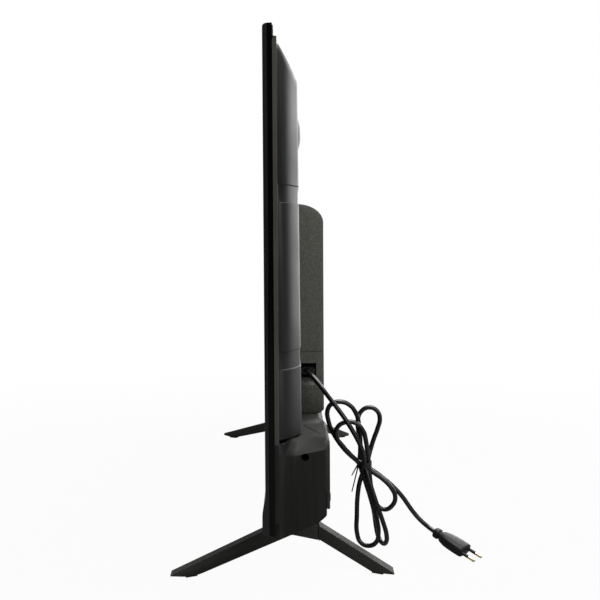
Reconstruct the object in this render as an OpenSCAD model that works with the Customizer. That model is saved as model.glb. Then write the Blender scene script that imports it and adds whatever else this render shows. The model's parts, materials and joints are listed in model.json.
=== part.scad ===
// Flat screen television on two V-shaped feet, with its mains lead.
// The screen faces -Y and the floor is at Z 0. Left and right are as a viewer sees them.

/* [Screen] */
// Width of the lit picture
picture_w = 941; // [920:1:960]
// Height of the lit picture
picture_h = 529; // [520:1:540]
// Black border at the left and right of the picture
border_side = 10.5; // [9:0.5:14]
// Black border above the picture
border_top = 10; // [9:0.5:14]
// Height of the chin under the picture
chin_h = 21; // [19:0.5:26]
// How far the chin stands proud of the frame
chin_proud = 3.5; // [2:0.5:6]
// Height over which the side rails swell out to the chin
chin_swell_h = 25; // [15:1:40]
// Depth of the front bezel
bezel_depth = 10.8; // [10.4:0.1:13]
// Wall of the front bezel
bezel_wall = 2.2; // [1.8:0.1:2.6]
// Thickness of the lip in front of the panel
lip_t = 2; // [1.5:0.1:2.5]
// Radius of the bezel's upper front edge
bezel_edge_r = 4.5; // [2:0.5:6]
// Thickness of the LCD cell
glass_t = 1.5; // [1.2:0.1:2]
// How far the LCD cell reaches past the picture
glass_border = 3.5; // [2:0.5:4]
// Thickness of the panel frame's shelf
shelf_t = 2; // [1.5:0.1:2.2]
// Thickness of the stack of optical films
films_t = 0.8; // [0.5:0.1:1.2]
// Thickness of the diffuser plate
diffuser_t = 2; // [1.5:0.1:2.2]
// Width of the infra-red window
ir_w = 22; // [14:1:30]
// Height of the infra-red window
ir_h = 8; // [6:0.5:9]

/* [Backlight tray] */
// Thickness of the tray's rim
rim_t = 4.7; // [4:0.1:6]
// Depth of the pan behind the rim
pan_depth = 22.5; // [18:0.5:28]
// Inward run of the pan's side slopes
pan_run_side = 42; // [30:1:50]
// Inward run of the pan's upper and lower slopes
pan_run_top = 36; // [28:1:44]
// Thickness of the pan's sheet steel
sheet_t = 1; // [0.9:0.1:1.2]
// Height of a stamped band
band_h = 21; // [14:1:28]
// Depth of a stamped band
band_depth = 0.6; // [0.3:0.1:0.7]
// Height of the middle of the lower band above the bezel's underside
band_low = 193; // [180:1:210]
// Height of the middle of the upper band above the bezel's underside
band_high = 378; // [360:1:390]
// Radius of the stamped boss near each upper corner
boss_r = 18; // [12:1:22]
// Height of the stamped boss
boss_h = 3.5; // [2:0.5:5]
// Thickness of the reflector sheet
reflector_t = 0.6; // [0.4:0.1:0.8]
// Rows of LED bars
led_rows = 4; // [3:1:5]
// LEDs on each bar
led_count = 8; // [6:1:10]
// Radius of an LED lens
lens_r = 7.5; // [6:0.5:9]

/* [Rear cover] */
// Width of the electronics box
box_w = 580; // [560:1:620]
// Depth of the electronics box behind the pan
box_depth = 34; // [32:0.5:42]
// Height of the electronics box
box_h = 273.5; // [260:0.5:285]
// Wall of the plastic covers
cover_wall = 2; // [1.6:0.1:2.4]
// Height of the rounding at the top of the electronics box
box_crown = 24; // [12:1:28]
// Spacing of the wall mount holes, both ways
mount_pitch = 200; // [100:50:200]
// Radius of the wall mount holes
mount_hole_r = 3; // [2:0.5:3]
// Height of a circuit board above the pan
board_gap = 10; // [8:0.5:11]
// Thickness of a circuit board
board_t = 1.6; // [1.2:0.1:2]
// Width and height of the inlet recess
recess_size = 20; // [20:0.5:22]
// Depth of the inlet recess
recess_depth = 28; // [27:0.5:30]

/* [Lower cover] */
// Height of the lower cover
cover_h = 108; // [104:1:116]
// How far the lower cover hangs below the bezel
cover_drop = 5; // [3:0.5:8]
// How far the lower cover reaches behind the pan
cover_depth = 34.5; // [32:0.5:40]
// Height of the lower cover's rear step above its underside
cover_step_z = 29; // [27:0.5:32]
// Depth of the lower cover's rear step
cover_step = 3.7; // [2:0.1:5]
// Radius of the screw recess in each side
side_recess_r = 4.5; // [4:0.1:6]
// Width of a speaker box
speaker_w = 150; // [120:1:156]
// Height of a speaker box
speaker_h = 40; // [32:1:42]

/* [Keys] */
// Spacing of the keys
key_pitch = 14; // [13.5:0.1:15]
// Width of a key cap
key_w = 10; // [8:0.5:10]
// Height of a key cap
key_h = 8; // [6:0.5:9]
// How far a key stands proud of its pod
key_proud = 1.1; // [1:0.1:1.5]
// Travel of a key
key_travel = 0.8; // [0.5:0.1:0.9]

/* [Feet] */
// Height of the bezel's underside above the floor
stand_h = 68; // [60:1:80]
// Distance of the bezel's front from the middle of the feet
front_ahead = 18; // [12:0.5:24]
// Reach of a foot to the front and to the rear
foot_reach = 131; // [124:1:145]
// Distance of a foot's neck from the side of the screen
foot_inset = 120; // [110:1:130]
// Thickness of a prong
prong_t = 13; // [10:0.5:16]
// Width of a foot's neck
neck_w = 30; // [26:1:34]
// Thickness of a rubber foot pad
pad_t = 1.5; // [1:0.1:2.5]

/* [Mains lead] */
// Diameter of the mains lead
lead_d = 6; // [5:0.1:6.2]
// Spacing of the plug's pins
plug_pitch = 18; // [17:0.1:19]
// Length of the plug's pins
plug_pin_l = 19; // [17:0.5:19]

/* [Hidden] */
$fn = 48;
// Cut past a face, so that no skin is left on it
eps = 0.1;
// Clearance of a piece in its pocket
fit = 0.3;

// Heights of the screen
z_bezel = stand_h;
z_pic_lo = z_bezel + chin_h;
z_pic_hi = z_pic_lo + picture_h;
z_top = z_pic_hi + border_top;
half_pic = picture_w / 2;
half_w = half_pic + border_side;

// Layers of the screen from front to back
y_front = -front_ahead;
y_chin = y_front - chin_proud;
y_glass = y_front + lip_t;
y_shelf = y_glass + glass_t;
y_films = y_shelf + shelf_t;
y_diff = y_films + films_t;
y_upstand = y_diff + diffuser_t;
y_rim = y_front + bezel_depth;
y_pan = y_rim + rim_t;
y_plateau = y_pan + pan_depth;

// Panel frame inside the bezel
frame_half = half_w - bezel_wall - fit;
frame_pocket = 4.5;
z_frame_lo = z_pic_lo - 7.5;
z_frame_hi = z_top - bezel_wall - fit;
ir_x = half_pic - 60;
ir_z = z_bezel + 11.5;
y_chin_in = y_chin + bezel_wall;

// Pan of the tray: half width and heights at a given depth
pan_margin = 1.5;
half_pan = half_pic + pan_margin;
z_pan_lo = z_pic_lo + 2;
z_pan_hi = z_pic_hi - 5;
function pan_half(y) = half_pan - (y - y_pan) * pan_run_side / pan_depth;
function pan_lo(y) = z_pan_lo + (y - y_pan) * pan_run_top / pan_depth;
function pan_hi(y) = z_pan_hi - (y - y_pan) * pan_run_top / pan_depth;
rim_half = half_w - 2;
rim_open = half_pan - 4;
z_open_lo = z_pan_lo + 3;
z_open_hi = z_pan_hi - 3;
upstand_t = 2;
boss_x = pan_half(y_plateau) - boss_r - 12;
boss_z = pan_hi(y_plateau) - 58;
y_floor = y_plateau - sheet_t - band_depth - reflector_t;
bar_t = 1.5;
lens_h = 6;
z_mid = (z_pic_lo + z_pic_hi) / 2;
led_row_pitch = 115;
led_pitch = 98;
rim_screw_r = 1;
rim_screw_l = 6;
rim_head_r = 2.2;
rim_screw_x = [for (i = [-2 : 2]) i * 200];
rim_screw_z = [z_pic_lo - 6, z_pic_hi + 6];
// Thin flange of the tray above the pan, and the seat of a rim screw's head
top_flange_t = 1;
function rim_seat(z) = z > z_mid ? y_rim + top_flange_t : y_pan;

// Electronics box
box_half = box_w / 2;
y_box = y_plateau + box_depth;
z_cov_lo = z_bezel - cover_drop;
z_cov_hi = z_cov_lo + cover_h;
z_box_lo = z_cov_hi + 0.5;
z_box_hi = z_box_lo + box_h;
z_mount = z_box_lo + box_h / 2 + 2;
post_r = 6;
y_board = y_plateau + board_gap;
y_board_top = y_board + board_t;
board_in = 112;
board_out = box_half - 22;
z_main_lo = z_box_lo + 44;
z_main_hi = z_box_lo + 228;
z_power_lo = z_box_lo + 80;
z_power_hi = z_box_lo + 232;
timing_half = 85;
z_timing_lo = z_box_lo + 127;
z_timing_hi = z_timing_lo + 46;
screw_hole_r = 1.7;
screw_r = 1.5;
head_r = 3;
boss_screw_r = 4.6;
boss_seat = 6;
box_screw_x = box_half - 12;
box_screws = [[-box_screw_x, z_box_lo + 15], [0, z_box_lo + 15], [box_screw_x, z_box_lo + 15],
    [-box_screw_x, z_box_hi - 30], [0, z_box_hi - 30], [box_screw_x, z_box_hi - 30]];
gate_x = 25;
gate_w = 40;
flex_w = 30;
vent_pitch = 14;
vent_count = 9;
vent_w = 4;
mount_points = [for (x = [-1, 1], z = [-1, 1]) [x * mount_pitch / 2, z_mount + z * mount_pitch / 2]];
// Corners of a board where its posts and screws sit
function corners(x0, x1, z0, z1, edge = 6) =
    [for (x = [x0 + edge, x1 - edge], z = [z0 + edge, z1 - edge]) [x, z]];
main_corners = corners(-board_out, -board_in, z_main_lo, z_main_hi);
power_corners = corners(board_in, board_out, z_power_lo, z_power_hi);
timing_corners = corners(-timing_half, timing_half, z_timing_lo, z_timing_hi);
board_corners = concat(main_corners, power_corners, timing_corners);
chip_x = -(board_in + board_out) / 2 + 20;
chip_z = (z_main_lo + z_main_hi) / 2 + 20;
chip_half = 13;
chip_t = 2;
// Sockets along the main board's outer edge: height of the middle, and size of the mouth in Z and Y
jack_list = [[20, 15, 5.6], [48, 15, 5.6], [76, 13, 5.6], [100, 13, 5.6], [126, 9, 9], [150, 9, 9]];
jack_wall = 1;
jack_l = 28;
jack_well = 11;
jack_y = y_board_top + 5.6;
x_jack = -box_half + 1.8;
panel_y0 = y_board - 2;
panel_y1 = jack_y + 9;
panel_z0 = z_main_lo + 4;
panel_z1 = z_main_lo + 166;

// Mains inlet in its recess
recess_y = y_plateau + 14;
recess_z = z_box_lo + 56;
x_recess = box_half - recess_depth;
ledge_h = 8.5;
ledge_run = 9;
core_pitch = 8;
nose_r = 4;
inlet_well = 16;
inlet_l = 24;
inlet_pin_r = 1.2;
connector_r = 5.5;
connector_l = 26;
relief_l = 21;

// Lower cover
neck_x = half_w - foot_inset;
cover_half = half_pan - 10;
cover_flare = half_pan + 3;
y_cover = y_plateau + cover_depth;
y_flare = y_pan + 6.5;
y_keel = y_pan + 13.5;
y_bilge = y_cover - 16.5;
y_hip = y_cover - 11.5;
z_step = z_cov_lo + cover_step_z;
facet_x = cover_half - 85;
facet_y = y_plateau + 5.5;
facet_tilt = [8.3, 4.9, 0];
side_screw_y = y_plateau + 6.4;
side_screw_z = z_cov_hi - 19.5;
tab_t = 2.5;
x_tab = pan_half(y_plateau) - 3;
cover_screw_z = z_cov_hi - 23;
cover_screw_x = neck_x - neck_w / 2 - 13;
cover_screws = [for (x = [-cover_screw_x, -90, 90, cover_screw_x]) [x, cover_screw_z]];
speaker_x = neck_x - neck_w / 2 - 26 - speaker_w / 2;
z_speaker_hi = z_cov_hi - 6;
z_speaker_lo = z_speaker_hi - speaker_h;
speaker_depth = cover_depth - 8;
driver_half_x = 46;
driver_half_y = 11;
driver_y = y_plateau + speaker_depth / 2;

// Feet
neck_y0 = 4;
neck_y1 = 44;
z_neck_lo = 29.5;
z_neck_hi = z_bezel + 7;
flange_t = 2.5;
foot_screw_y = [14, 34];
foot_screw_r = 2;
foot_seat = 9;
front_root = [neck_x - 7, 12];
front_tip = [neck_x + 60, -foot_reach];
rear_root = [neck_x + 5, 40];
rear_tip = [neck_x + 54, foot_reach];
front_l = norm(front_tip - front_root);
rear_l = norm(rear_tip - rear_root);
front_heel = front_l - 31;
rear_heel = rear_l - 26;
prong_in = 6;
sole_l = 14;
pad_w = 10;
toe_z = 6;

// Keys
key_z = z_step + 10;
pod_half_h = 10;
pod_t = 3.5;
pod_x1 = cover_half;
key_x0 = cover_half - 90;
pod_x0 = key_x0 - 12;
y_pod = y_cover - pod_t;
collar_t = 1.5;
collar_edge = 1.2;
y_collar = y_pod - fit;
switch_gap = 0.2;
stem_l = 0.7;
y_switch = y_collar - collar_t - stem_l - key_travel - switch_gap;
switch_h = 3;
key_board_y = y_switch - switch_h;
function key_x(i) = key_x0 + i * key_pitch;
key_names = ["power", "source", "volume_down", "volume_up", "channel_down", "channel_up"];

// Mains lead: route of the stretch from the connector to the tie
lead_r = lead_d / 2;
lead_sides = 10;
lead_route = [[309, 34, 227.5], [316, 34.5, 227.5], [323, 37, 226], [329, 41.5, 221.5], [334, 47.5, 214.5],
    [338.5, 54, 206], [341.5, 61, 197], [343.5, 68, 188], [345, 75, 178.5], [345.5, 82, 168],
    [345.5, 88, 158], [345.5, 94, 147], [345.5, 99, 136], [345, 102.5, 125], [343, 104.5, 115],
    [341, 105.5, 107]];
// Route of the stretch from the tie to the plug
tail_route = [[315, 111, 105.5], [316.5, 120, 99], [318.5, 129, 92], [320, 138, 84.5], [320.5, 147, 75.5],
    [320, 155, 65.5], [320, 162.5, 54.5], [320, 170, 44.5], [321, 178, 36], [324, 186, 29.6],
    [329.6, 193.2, 25.1]];
// Outline of the tied bundle, seen from the side
hank_x0 = 311.5;
hank_x1 = 342.5;
hank_outline = [[95, 119], [54, 178], [54, 190], [62, 198], [78, 200], [116, 190], [128, 178], [129, 164],
    [112, 119], [112, 99], [146, 72], [146, 60], [136, 14], [122, 2], [106, 2], [94, 14], [91, 48],
        [95, 107]];
tie_z0 = 109;
tie_z1 = 117;
tie_y0 = 95;
tie_y1 = 112;
tie_t = 1;
tie_room = 7;
// Plug: middle of its face, and its turn
plug_face = [358, 227, 9];
plug_turn = [0, 110, 50];
plug_body_l = 28;
plug_shoulder_l = 8;
plug_relief_l = 11;
plug_pin_r = 2;

// Solid between two corners
module block(lo, hi) {
    translate(lo)
        cube(hi - lo);
}

// Outline in Y and Z, drawn out along X
module along_x(x0, x1) {
    translate([x0, 0, 0])
        rotate([90, 0, 90])
            linear_extrude(x1 - x0)
                children();
}

// Outline in X and Z, drawn out along Y
module along_y(y0, y1) {
    translate([0, y1, 0])
        rotate([90, 0, 0])
            linear_extrude(y1 - y0)
                children();
}

// Round rod along X
module rod_x(x0, x1, y, z, r) {
    translate([x0, y, z])
        rotate([0, 90, 0])
            cylinder(h = x1 - x0, r = r);
}

// Round rod along Y
module rod_y(y0, y1, x, z, r) {
    translate([x, y0, z])
        rotate([-90, 0, 0])
            cylinder(h = y1 - y0, r = r);
}

// The same piece on the right and on the left
module both_sides() {
    children();
    mirror([1, 0, 0])
        children();
}

// Points along a quarter turn
function turn(c, r, from, steps = 6) =
    [for (i = [0 : steps]) c + r * [cos(from + i * 90 / steps), sin(from + i * 90 / steps)]];

// Front bezel: side profile of the rails, opened for the picture and hollow behind its lip
module front_bezel() {
    chin_r = 4;
    profile = concat([[y_rim, z_bezel], [y_rim, z_top]],
        turn([y_front + bezel_edge_r, z_top - bezel_edge_r], bezel_edge_r, 90),
        [[y_front, z_pic_lo + chin_swell_h], [y_chin, z_pic_lo]],
        turn([y_chin + chin_r, z_bezel + chin_r], chin_r, 180));
    inner = half_w - bezel_wall;
    color("#0c0c0d")
        difference() {
            along_x(-half_w, half_w)
                polygon(profile);
            block([-half_pic, y_chin - eps, z_pic_lo], [half_pic, y_glass + eps, z_pic_hi]);
            block([-inner, y_glass, z_bezel + bezel_wall], [inner, y_rim + eps, z_top - bezel_wall]);
            block([-half_pic, y_chin_in, z_bezel + bezel_wall],
                [half_pic, y_glass + eps, z_pic_lo - bezel_wall]);
            block([ir_x - ir_w / 2, y_chin - eps, ir_z - ir_h / 2],
                [ir_x + ir_w / 2, y_chin_in + eps, ir_z + ir_h / 2]);
        }
}

// Smoked window in the chin, held by a flange behind the wall
module ir_window() {
    edge = 1.5;
    w = ir_w / 2;
    h = ir_h / 2;
    color("#2a0d10")
        union() {
            block([ir_x - w + fit, y_chin, ir_z - h + fit],
                [ir_x + w - fit, y_chin_in + eps, ir_z + h - fit]);
            block([ir_x - w - edge, y_chin_in, ir_z - h - edge],
                [ir_x + w + edge, y_chin_in + 1, ir_z + h + edge]);
        }
}

// Receiver board behind the window
module ir_board() {
    y0 = y_chin_in + 1;
    color("#1d5b34")
        union() {
            block([ir_x - 14, y0, ir_z - 5], [ir_x + 14, y0 + board_t, ir_z + 5]);
            block([ir_x - 4, y0 + board_t - eps, ir_z - 5], [ir_x + 4, y0 + board_t + 3, ir_z + 1.5]);
        }
}

// Sheet in front of or behind the picture, reaching past it by an edge
module sheet(y0, t, edge) {
    block([-half_pic - edge, y0, z_pic_lo - edge], [half_pic + edge, y0 + t, z_pic_hi + edge]);
}

module lcd_panel() {
    color("#101216")
        sheet(y_glass, glass_t, glass_border);
}

// Frame inside the bezel: a shelf with the LCD cell in front and the films behind
module panel_frame() {
    open = 0.3;
    color("#5b554e")
        difference() {
            block([-frame_half, y_glass, z_frame_lo], [frame_half, y_rim, z_frame_hi]);
            translate([0, -eps, 0])
                sheet(y_glass, glass_t + eps, glass_border + fit);
            sheet(y_films, y_rim - y_films + eps, frame_pocket);
            sheet(y_glass, y_rim - y_glass, open);
            for (x = rim_screw_x, z = rim_screw_z)
                rod_y(y_rim - rim_screw_l, y_rim + eps, x, z, rim_screw_r + eps);
        }
}

module optical_films() {
    color("#e8ecee")
        sheet(y_films, films_t, 3);
}

module diffuser_plate() {
    color("#f4f4f2")
        sheet(y_diff, diffuser_t, pan_margin);
}

// Cones that hold the diffuser plate off the reflector
module diffuser_posts() {
    base_r = 6;
    tip_r = 1.5;
    color("#f0f0ee")
        for (x = [-2 : 2], z = [-0.5, 0.5])
            translate([x * 1.5 * led_pitch, y_upstand, z_mid + z * 2 * led_row_pitch])
                rotate([-90, 0, 0])
                    cylinder(h = y_floor - y_upstand, r1 = tip_r, r2 = base_r);
}

// The pan's outer form between two depths
module pan_form(y0, y1) {
    intersection() {
        translate([0, 0, z_bezel])
            linear_extrude(z_top - z_bezel)
                polygon([[-pan_half(y0), y0], [pan_half(y0), y0], [pan_half(y1), y1], [-pan_half(y1), y1]]);
        along_x(-half_w, half_w)
            polygon([[y0, pan_lo(y0)], [y1, pan_lo(y1)], [y1, pan_hi(y1)], [y0, pan_hi(y0)]]);
    }
}

// The pan's form with its stamped bands
module banded_pan() {
    difference() {
        pan_form(y_pan, y_plateau);
        for (z = [band_low, band_high])
            difference() {
                block([-half_w, y_pan, z_bezel + z - band_h / 2],
                    [half_w, y_plateau + eps, z_bezel + z + band_h / 2]);
                translate([0, -band_depth, 0])
                    pan_form(y_pan, y_plateau);
            }
    }
}

// White sheet that lines the pan
module reflector_sheet() {
    back = sheet_t + band_depth;
    color("#f6f6f4")
        difference() {
            translate([0, -back, 0])
                pan_form(y_pan + back, y_plateau);
            translate([0, -back - reflector_t, 0])
                pan_form(y_pan, y_plateau);
        }
}

module led_bars() {
    bar_half = led_pitch * led_count / 2;
    bar_h = 14;
    color("#d8dcd6")
        for (row = [0 : led_rows - 1]) {
            z = z_mid + (row - (led_rows - 1) / 2) * led_row_pitch;
            block([-bar_half, y_floor - bar_t, z - bar_h / 2], [bar_half, y_floor, z + bar_h / 2]);
        }
}

// Domed lenses on the LED bars
module led_lenses() {
    rise = 2;
    dome = [for (i = [0 : 6]) [lens_r * cos(i * 15), rise + (lens_h - rise) * sin(i * 15)]];
    color("#eef2f4")
        for (row = [0 : led_rows - 1], i = [0 : led_count - 1])
            translate([(i - (led_count - 1) / 2) * led_pitch, y_floor - bar_t,
                z_mid + (row - (led_rows - 1) / 2) * led_row_pitch])
                rotate([90, 0, 0])
                    rotate_extrude()
                        polygon(concat([[0, 0], [lens_r, 0]], dome));
}

// Holes in the tray for the screws of both covers
module tray_screw_holes() {
    for (p = concat(box_screws, cover_screws))
        rod_y(y_plateau - sheet_t - band_depth - eps, y_plateau + eps, p[0], p[1], screw_hole_r);
}

// Pressed steel tray: rim, upstand for the diffuser, and the pan with its bands and bosses
module backlight_tray() {
    up = rim_open + upstand_t;
    color("#4b4c4e")
        difference() {
            union() {
                block([-rim_half, y_rim, z_frame_lo], [rim_half, y_pan, z_pan_hi + 1.5]);
                block([-rim_half, y_rim, z_pan_hi], [rim_half, y_rim + top_flange_t, z_top - 2]);
                block([-up, y_upstand, z_open_lo - upstand_t], [up, y_rim + eps, z_open_hi + upstand_t]);
                banded_pan();
                both_sides()
                    rod_y(y_plateau - sheet_t, y_plateau + boss_h, boss_x, boss_z, boss_r);
            }
            translate([0, -sheet_t, 0])
                banded_pan();
            block([-rim_open, y_upstand - eps, z_open_lo], [rim_open, y_pan + eps, z_open_hi]);
            tray_screw_holes();
            for (x = rim_screw_x, z = rim_screw_z)
                rod_y(y_rim - eps, y_pan + eps, x, z, rim_screw_r + eps);
        }
}

// Screws that clamp the tray's rim to the panel frame
module rim_screws() {
    head_h = 1.4;
    color("#8f9192")
        for (x = rim_screw_x, z = rim_screw_z)
            union() {
                rod_y(rim_seat(z), rim_seat(z) + head_h, x, z, rim_head_r);
                rod_y(y_rim - rim_screw_l + 1, rim_seat(z) + eps, x, z, rim_screw_r);
            }
}

// Driver boards under the panel's lower edge
module source_boards() {
    color("#1f6a3c")
        both_sides()
            block([8, y_films, z_bezel + bezel_wall + 1], [308, y_films + board_t, z_frame_lo]);
}

// Flat cables from the timing board down the pan to the driver boards
module panel_flex() {
    t = 0.5;
    low = z_frame_lo - 4.5;
    path = [[y_board - 0.6, z_timing_lo + 4], [y_plateau + 2, z_timing_lo - 8],
        [y_plateau + 2, pan_lo(y_plateau) - 1],
        [y_pan + 1.2, z_pan_lo - 2.5], [y_pan + 1.2, low + 2], [y_pan - 1.5, low],
            [y_films + board_t, low]];
    back = [for (i = [len(path) - 1 : -1 : 0]) path[i] + [t, -t]];
    color("#c79a4a")
        both_sides()
            along_x(gate_x - flex_w / 2, gate_x + flex_w / 2)
                polygon(concat(path, back));
}

// Steel posts with the threaded holes of the wall mount
module wall_mount_posts() {
    thread_l = 22;
    color("#a9abad")
        for (p = mount_points)
            difference() {
                rod_y(y_plateau, y_box, p[0], p[1], post_r);
                rod_y(y_box - thread_l, y_box + eps, p[0], p[1], mount_hole_r);
            }
}

// Bare board with a hole for each screw
module board(x0, x1, z0, z1, points) {
    difference() {
        block([x0, y_board, z0], [x1, y_board_top, z1]);
        for (p = points)
            rod_y(y_board - eps, y_board_top + eps, p[0], p[1], screw_hole_r);
    }
}

module main_board() {
    color("#1d6b3a")
        union() {
            board(-board_out, -board_in, z_main_lo, z_main_hi, main_corners);
            block([chip_x - chip_half, y_board_top - eps, chip_z - chip_half],
                [chip_x + chip_half, y_board_top + chip_t, chip_z + chip_half]);
            for (i = [0 : 2])
                block([chip_x - 36, y_board_top - eps, chip_z - 40 + i * 18],
                    [chip_x - 22, y_board_top + 1.2, chip_z - 28 + i * 18]);
        }
}

// Finned heat sink on the main chip
module heat_sink() {
    base = 2;
    fin_h = 10;
    fin_t = 1.4;
    fins = 7;
    half = chip_half + 4;
    y0 = y_board_top + chip_t;
    color("#b9bcbf")
        union() {
            block([chip_x - half, y0, chip_z - half], [chip_x + half, y0 + base, chip_z + half]);
            for (i = [0 : fins - 1]) {
                x = chip_x - half + i * (2 * half - fin_t) / (fins - 1);
                block([x, y0 + base - eps, chip_z - half], [x + fin_t, y0 + base + fin_h, chip_z + half]);
            }
        }
}

// Sockets with a tongue, on the main board's outer edge
module side_jacks() {
    color("#c2c4c6")
        for (j = jack_list) {
            z = z_main_lo + j[0];
            w = j[1] / 2;
            h = j[2] / 2;
            tongue = 1;
            union() {
                difference() {
                    block([x_jack, jack_y - h - jack_wall, z - w - jack_wall],
                        [x_jack + jack_l, jack_y + h + jack_wall, z + w + jack_wall]);
                    block([x_jack - eps, jack_y - h, z - w], [x_jack + jack_well, jack_y + h, z + w]);
                }
                block([x_jack + 1, jack_y - tongue, z - w + 1.5],
                    [x_jack + jack_well + eps, jack_y + tongue, z + w - 1.5]);
            }
            block([x_jack + jack_well, y_board_top, z - 3],
                [x_jack + jack_l, jack_y - h - jack_wall, z + 3]);
        }
}

// Plate around the sockets, in a window of the rear cover
module jack_panel() {
    color("#2b2b29")
        difference() {
            block([-box_half, panel_y0 + fit, panel_z0 + fit], [x_jack, panel_y1 - fit, panel_z1 - fit]);
            for (j = jack_list) {
                z = z_main_lo + j[0];
                block([-box_half - eps, jack_y - j[2] / 2 - fit, z - j[1] / 2 - fit],
                    [x_jack + eps, jack_y + j[2] / 2 + fit, z + j[1] / 2 + fit]);
            }
        }
}

module power_board() {
    color("#8a6a3a")
        board(board_in, board_out, z_power_lo, z_power_hi, power_corners);
}

// Transformers, capacitors and heat sinks on the power board
module power_parts() {
    x0 = board_in + 18;
    z0 = z_power_lo + 18;
    color("#c7b34a")
        union() {
            block([x0, y_board_top, z0], [x0 + 34, y_board_top + 16, z0 + 38]);
            block([x0 + 4, y_board_top, z0 + 56], [x0 + 30, y_board_top + 14, z0 + 84]);
            block([x0 + 48, y_board_top, z0 + 10], [x0 + 51, y_board_top + 17, z0 + 70]);
            block([x0 + 84, y_board_top, z0 + 6], [x0 + 112, y_board_top + 13, z0 + 26]);
            for (i = [0 : 2])
                rod_y(y_board_top, y_board_top + 17, x0 + 72, z0 + 20 + i * 24, 8);
            for (i = [0 : 1])
                rod_y(y_board_top, y_board_top + 12, x0 + 100, z0 + 48 + i * 22, 6);
        }
}

module timing_board() {
    color("#1d5b4a")
        board(-timing_half, timing_half, z_timing_lo, z_timing_hi, timing_corners);
}

// Flat cable from the main board to the timing board
module panel_cable() {
    t = 0.4;
    z = (z_timing_lo + z_timing_hi) / 2;
    color("#e4e4e0")
        block([-board_in - 12, y_board_top, z - 8], [-timing_half + 12, y_board_top + t, z + 8]);
}

// Threaded posts under the boards
module board_posts() {
    r = 3.2;
    color("#b4a56a")
        for (p = board_corners)
            difference() {
                rod_y(y_plateau, y_board, p[0], p[1], r);
                rod_y(y_plateau + 2, y_board + eps, p[0], p[1], screw_hole_r);
            }
}

module board_screws() {
    head_h = 1.8;
    color("#9a9c9e")
        for (p = board_corners)
            union() {
                rod_y(y_board_top, y_board_top + head_h, p[0], p[1], head_r);
                rod_y(y_plateau + 3, y_board_top + eps, p[0], p[1], screw_r);
            }
}

// Figure-of-eight outline of the mains inlet, drawn out along X
module figure_eight(x0, x1, r) {
    for (s = [-1, 1])
        rod_x(x0, x1, recess_y + s * core_pitch / 2, recess_z, r);
    block([x0, recess_y - core_pitch / 2, recess_z - r * 0.8],
        [x1, recess_y + core_pitch / 2, recess_z + r * 0.8]);
}

// Socket body behind the recess, with a well for the connector's nose
module mains_inlet() {
    x1 = x_recess;
    x0 = x1 - inlet_l;
    color("#141414")
        difference() {
            union() {
                block([x0, recess_y - 11, recess_z - 9], [x1 - cover_wall, recess_y + 11, recess_z + 9]);
                block([x1 - cover_wall - eps, recess_y - 8.8, recess_z - 5.6],
                    [x1, recess_y + 8.8, recess_z + 5.6]);
            }
            figure_eight(x1 - inlet_well, x1 + eps, nose_r + fit);
            for (s = [-1, 1])
                rod_x(x0 + 4, x1, recess_y + s * core_pitch / 2, recess_z, inlet_pin_r);
        }
}

module inlet_pins() {
    color("#c9a24a")
        for (s = [-1, 1])
            rod_x(x_recess - inlet_l + 4, x_recess - 3, recess_y + s * core_pitch / 2, recess_z,
                inlet_pin_r);
}

// Outline of the electronics box in Y and Z, drawn in by a wall
function box_outline(wall, front) = concat(
    [[front, z_box_lo + wall], [y_box - 5, z_box_lo + wall], [y_box - wall, z_box_lo + 5]],
    [for (i = [0 : 8]) [y_plateau + (box_depth - wall) * cos(i * 11.25),
        z_box_hi - box_crown + (box_crown - wall) * sin(i * 11.25)]],
    [[front, z_box_hi - wall]]);

// Screw boss inside a cover, with a counterbore from the rear
module screw_boss(p, y_rear) {
    rod_y(y_plateau, y_rear, p[0], p[1], boss_screw_r);
}

module boss_bore(p, y_rear) {
    rod_y(y_plateau - eps, y_rear + eps, p[0], p[1], screw_hole_r);
    rod_y(y_plateau + boss_seat, y_rear + eps, p[0], p[1], head_r + 0.5);
}

// Screw in such a boss, through to the tray's sheet
module boss_screw(p) {
    head_h = 2.2;
    union() {
        rod_y(y_plateau + boss_seat, y_plateau + boss_seat + head_h, p[0], p[1], head_r);
        rod_y(y_plateau - sheet_t, y_plateau + boss_seat + eps, p[0], p[1], screw_r);
    }
}

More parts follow.
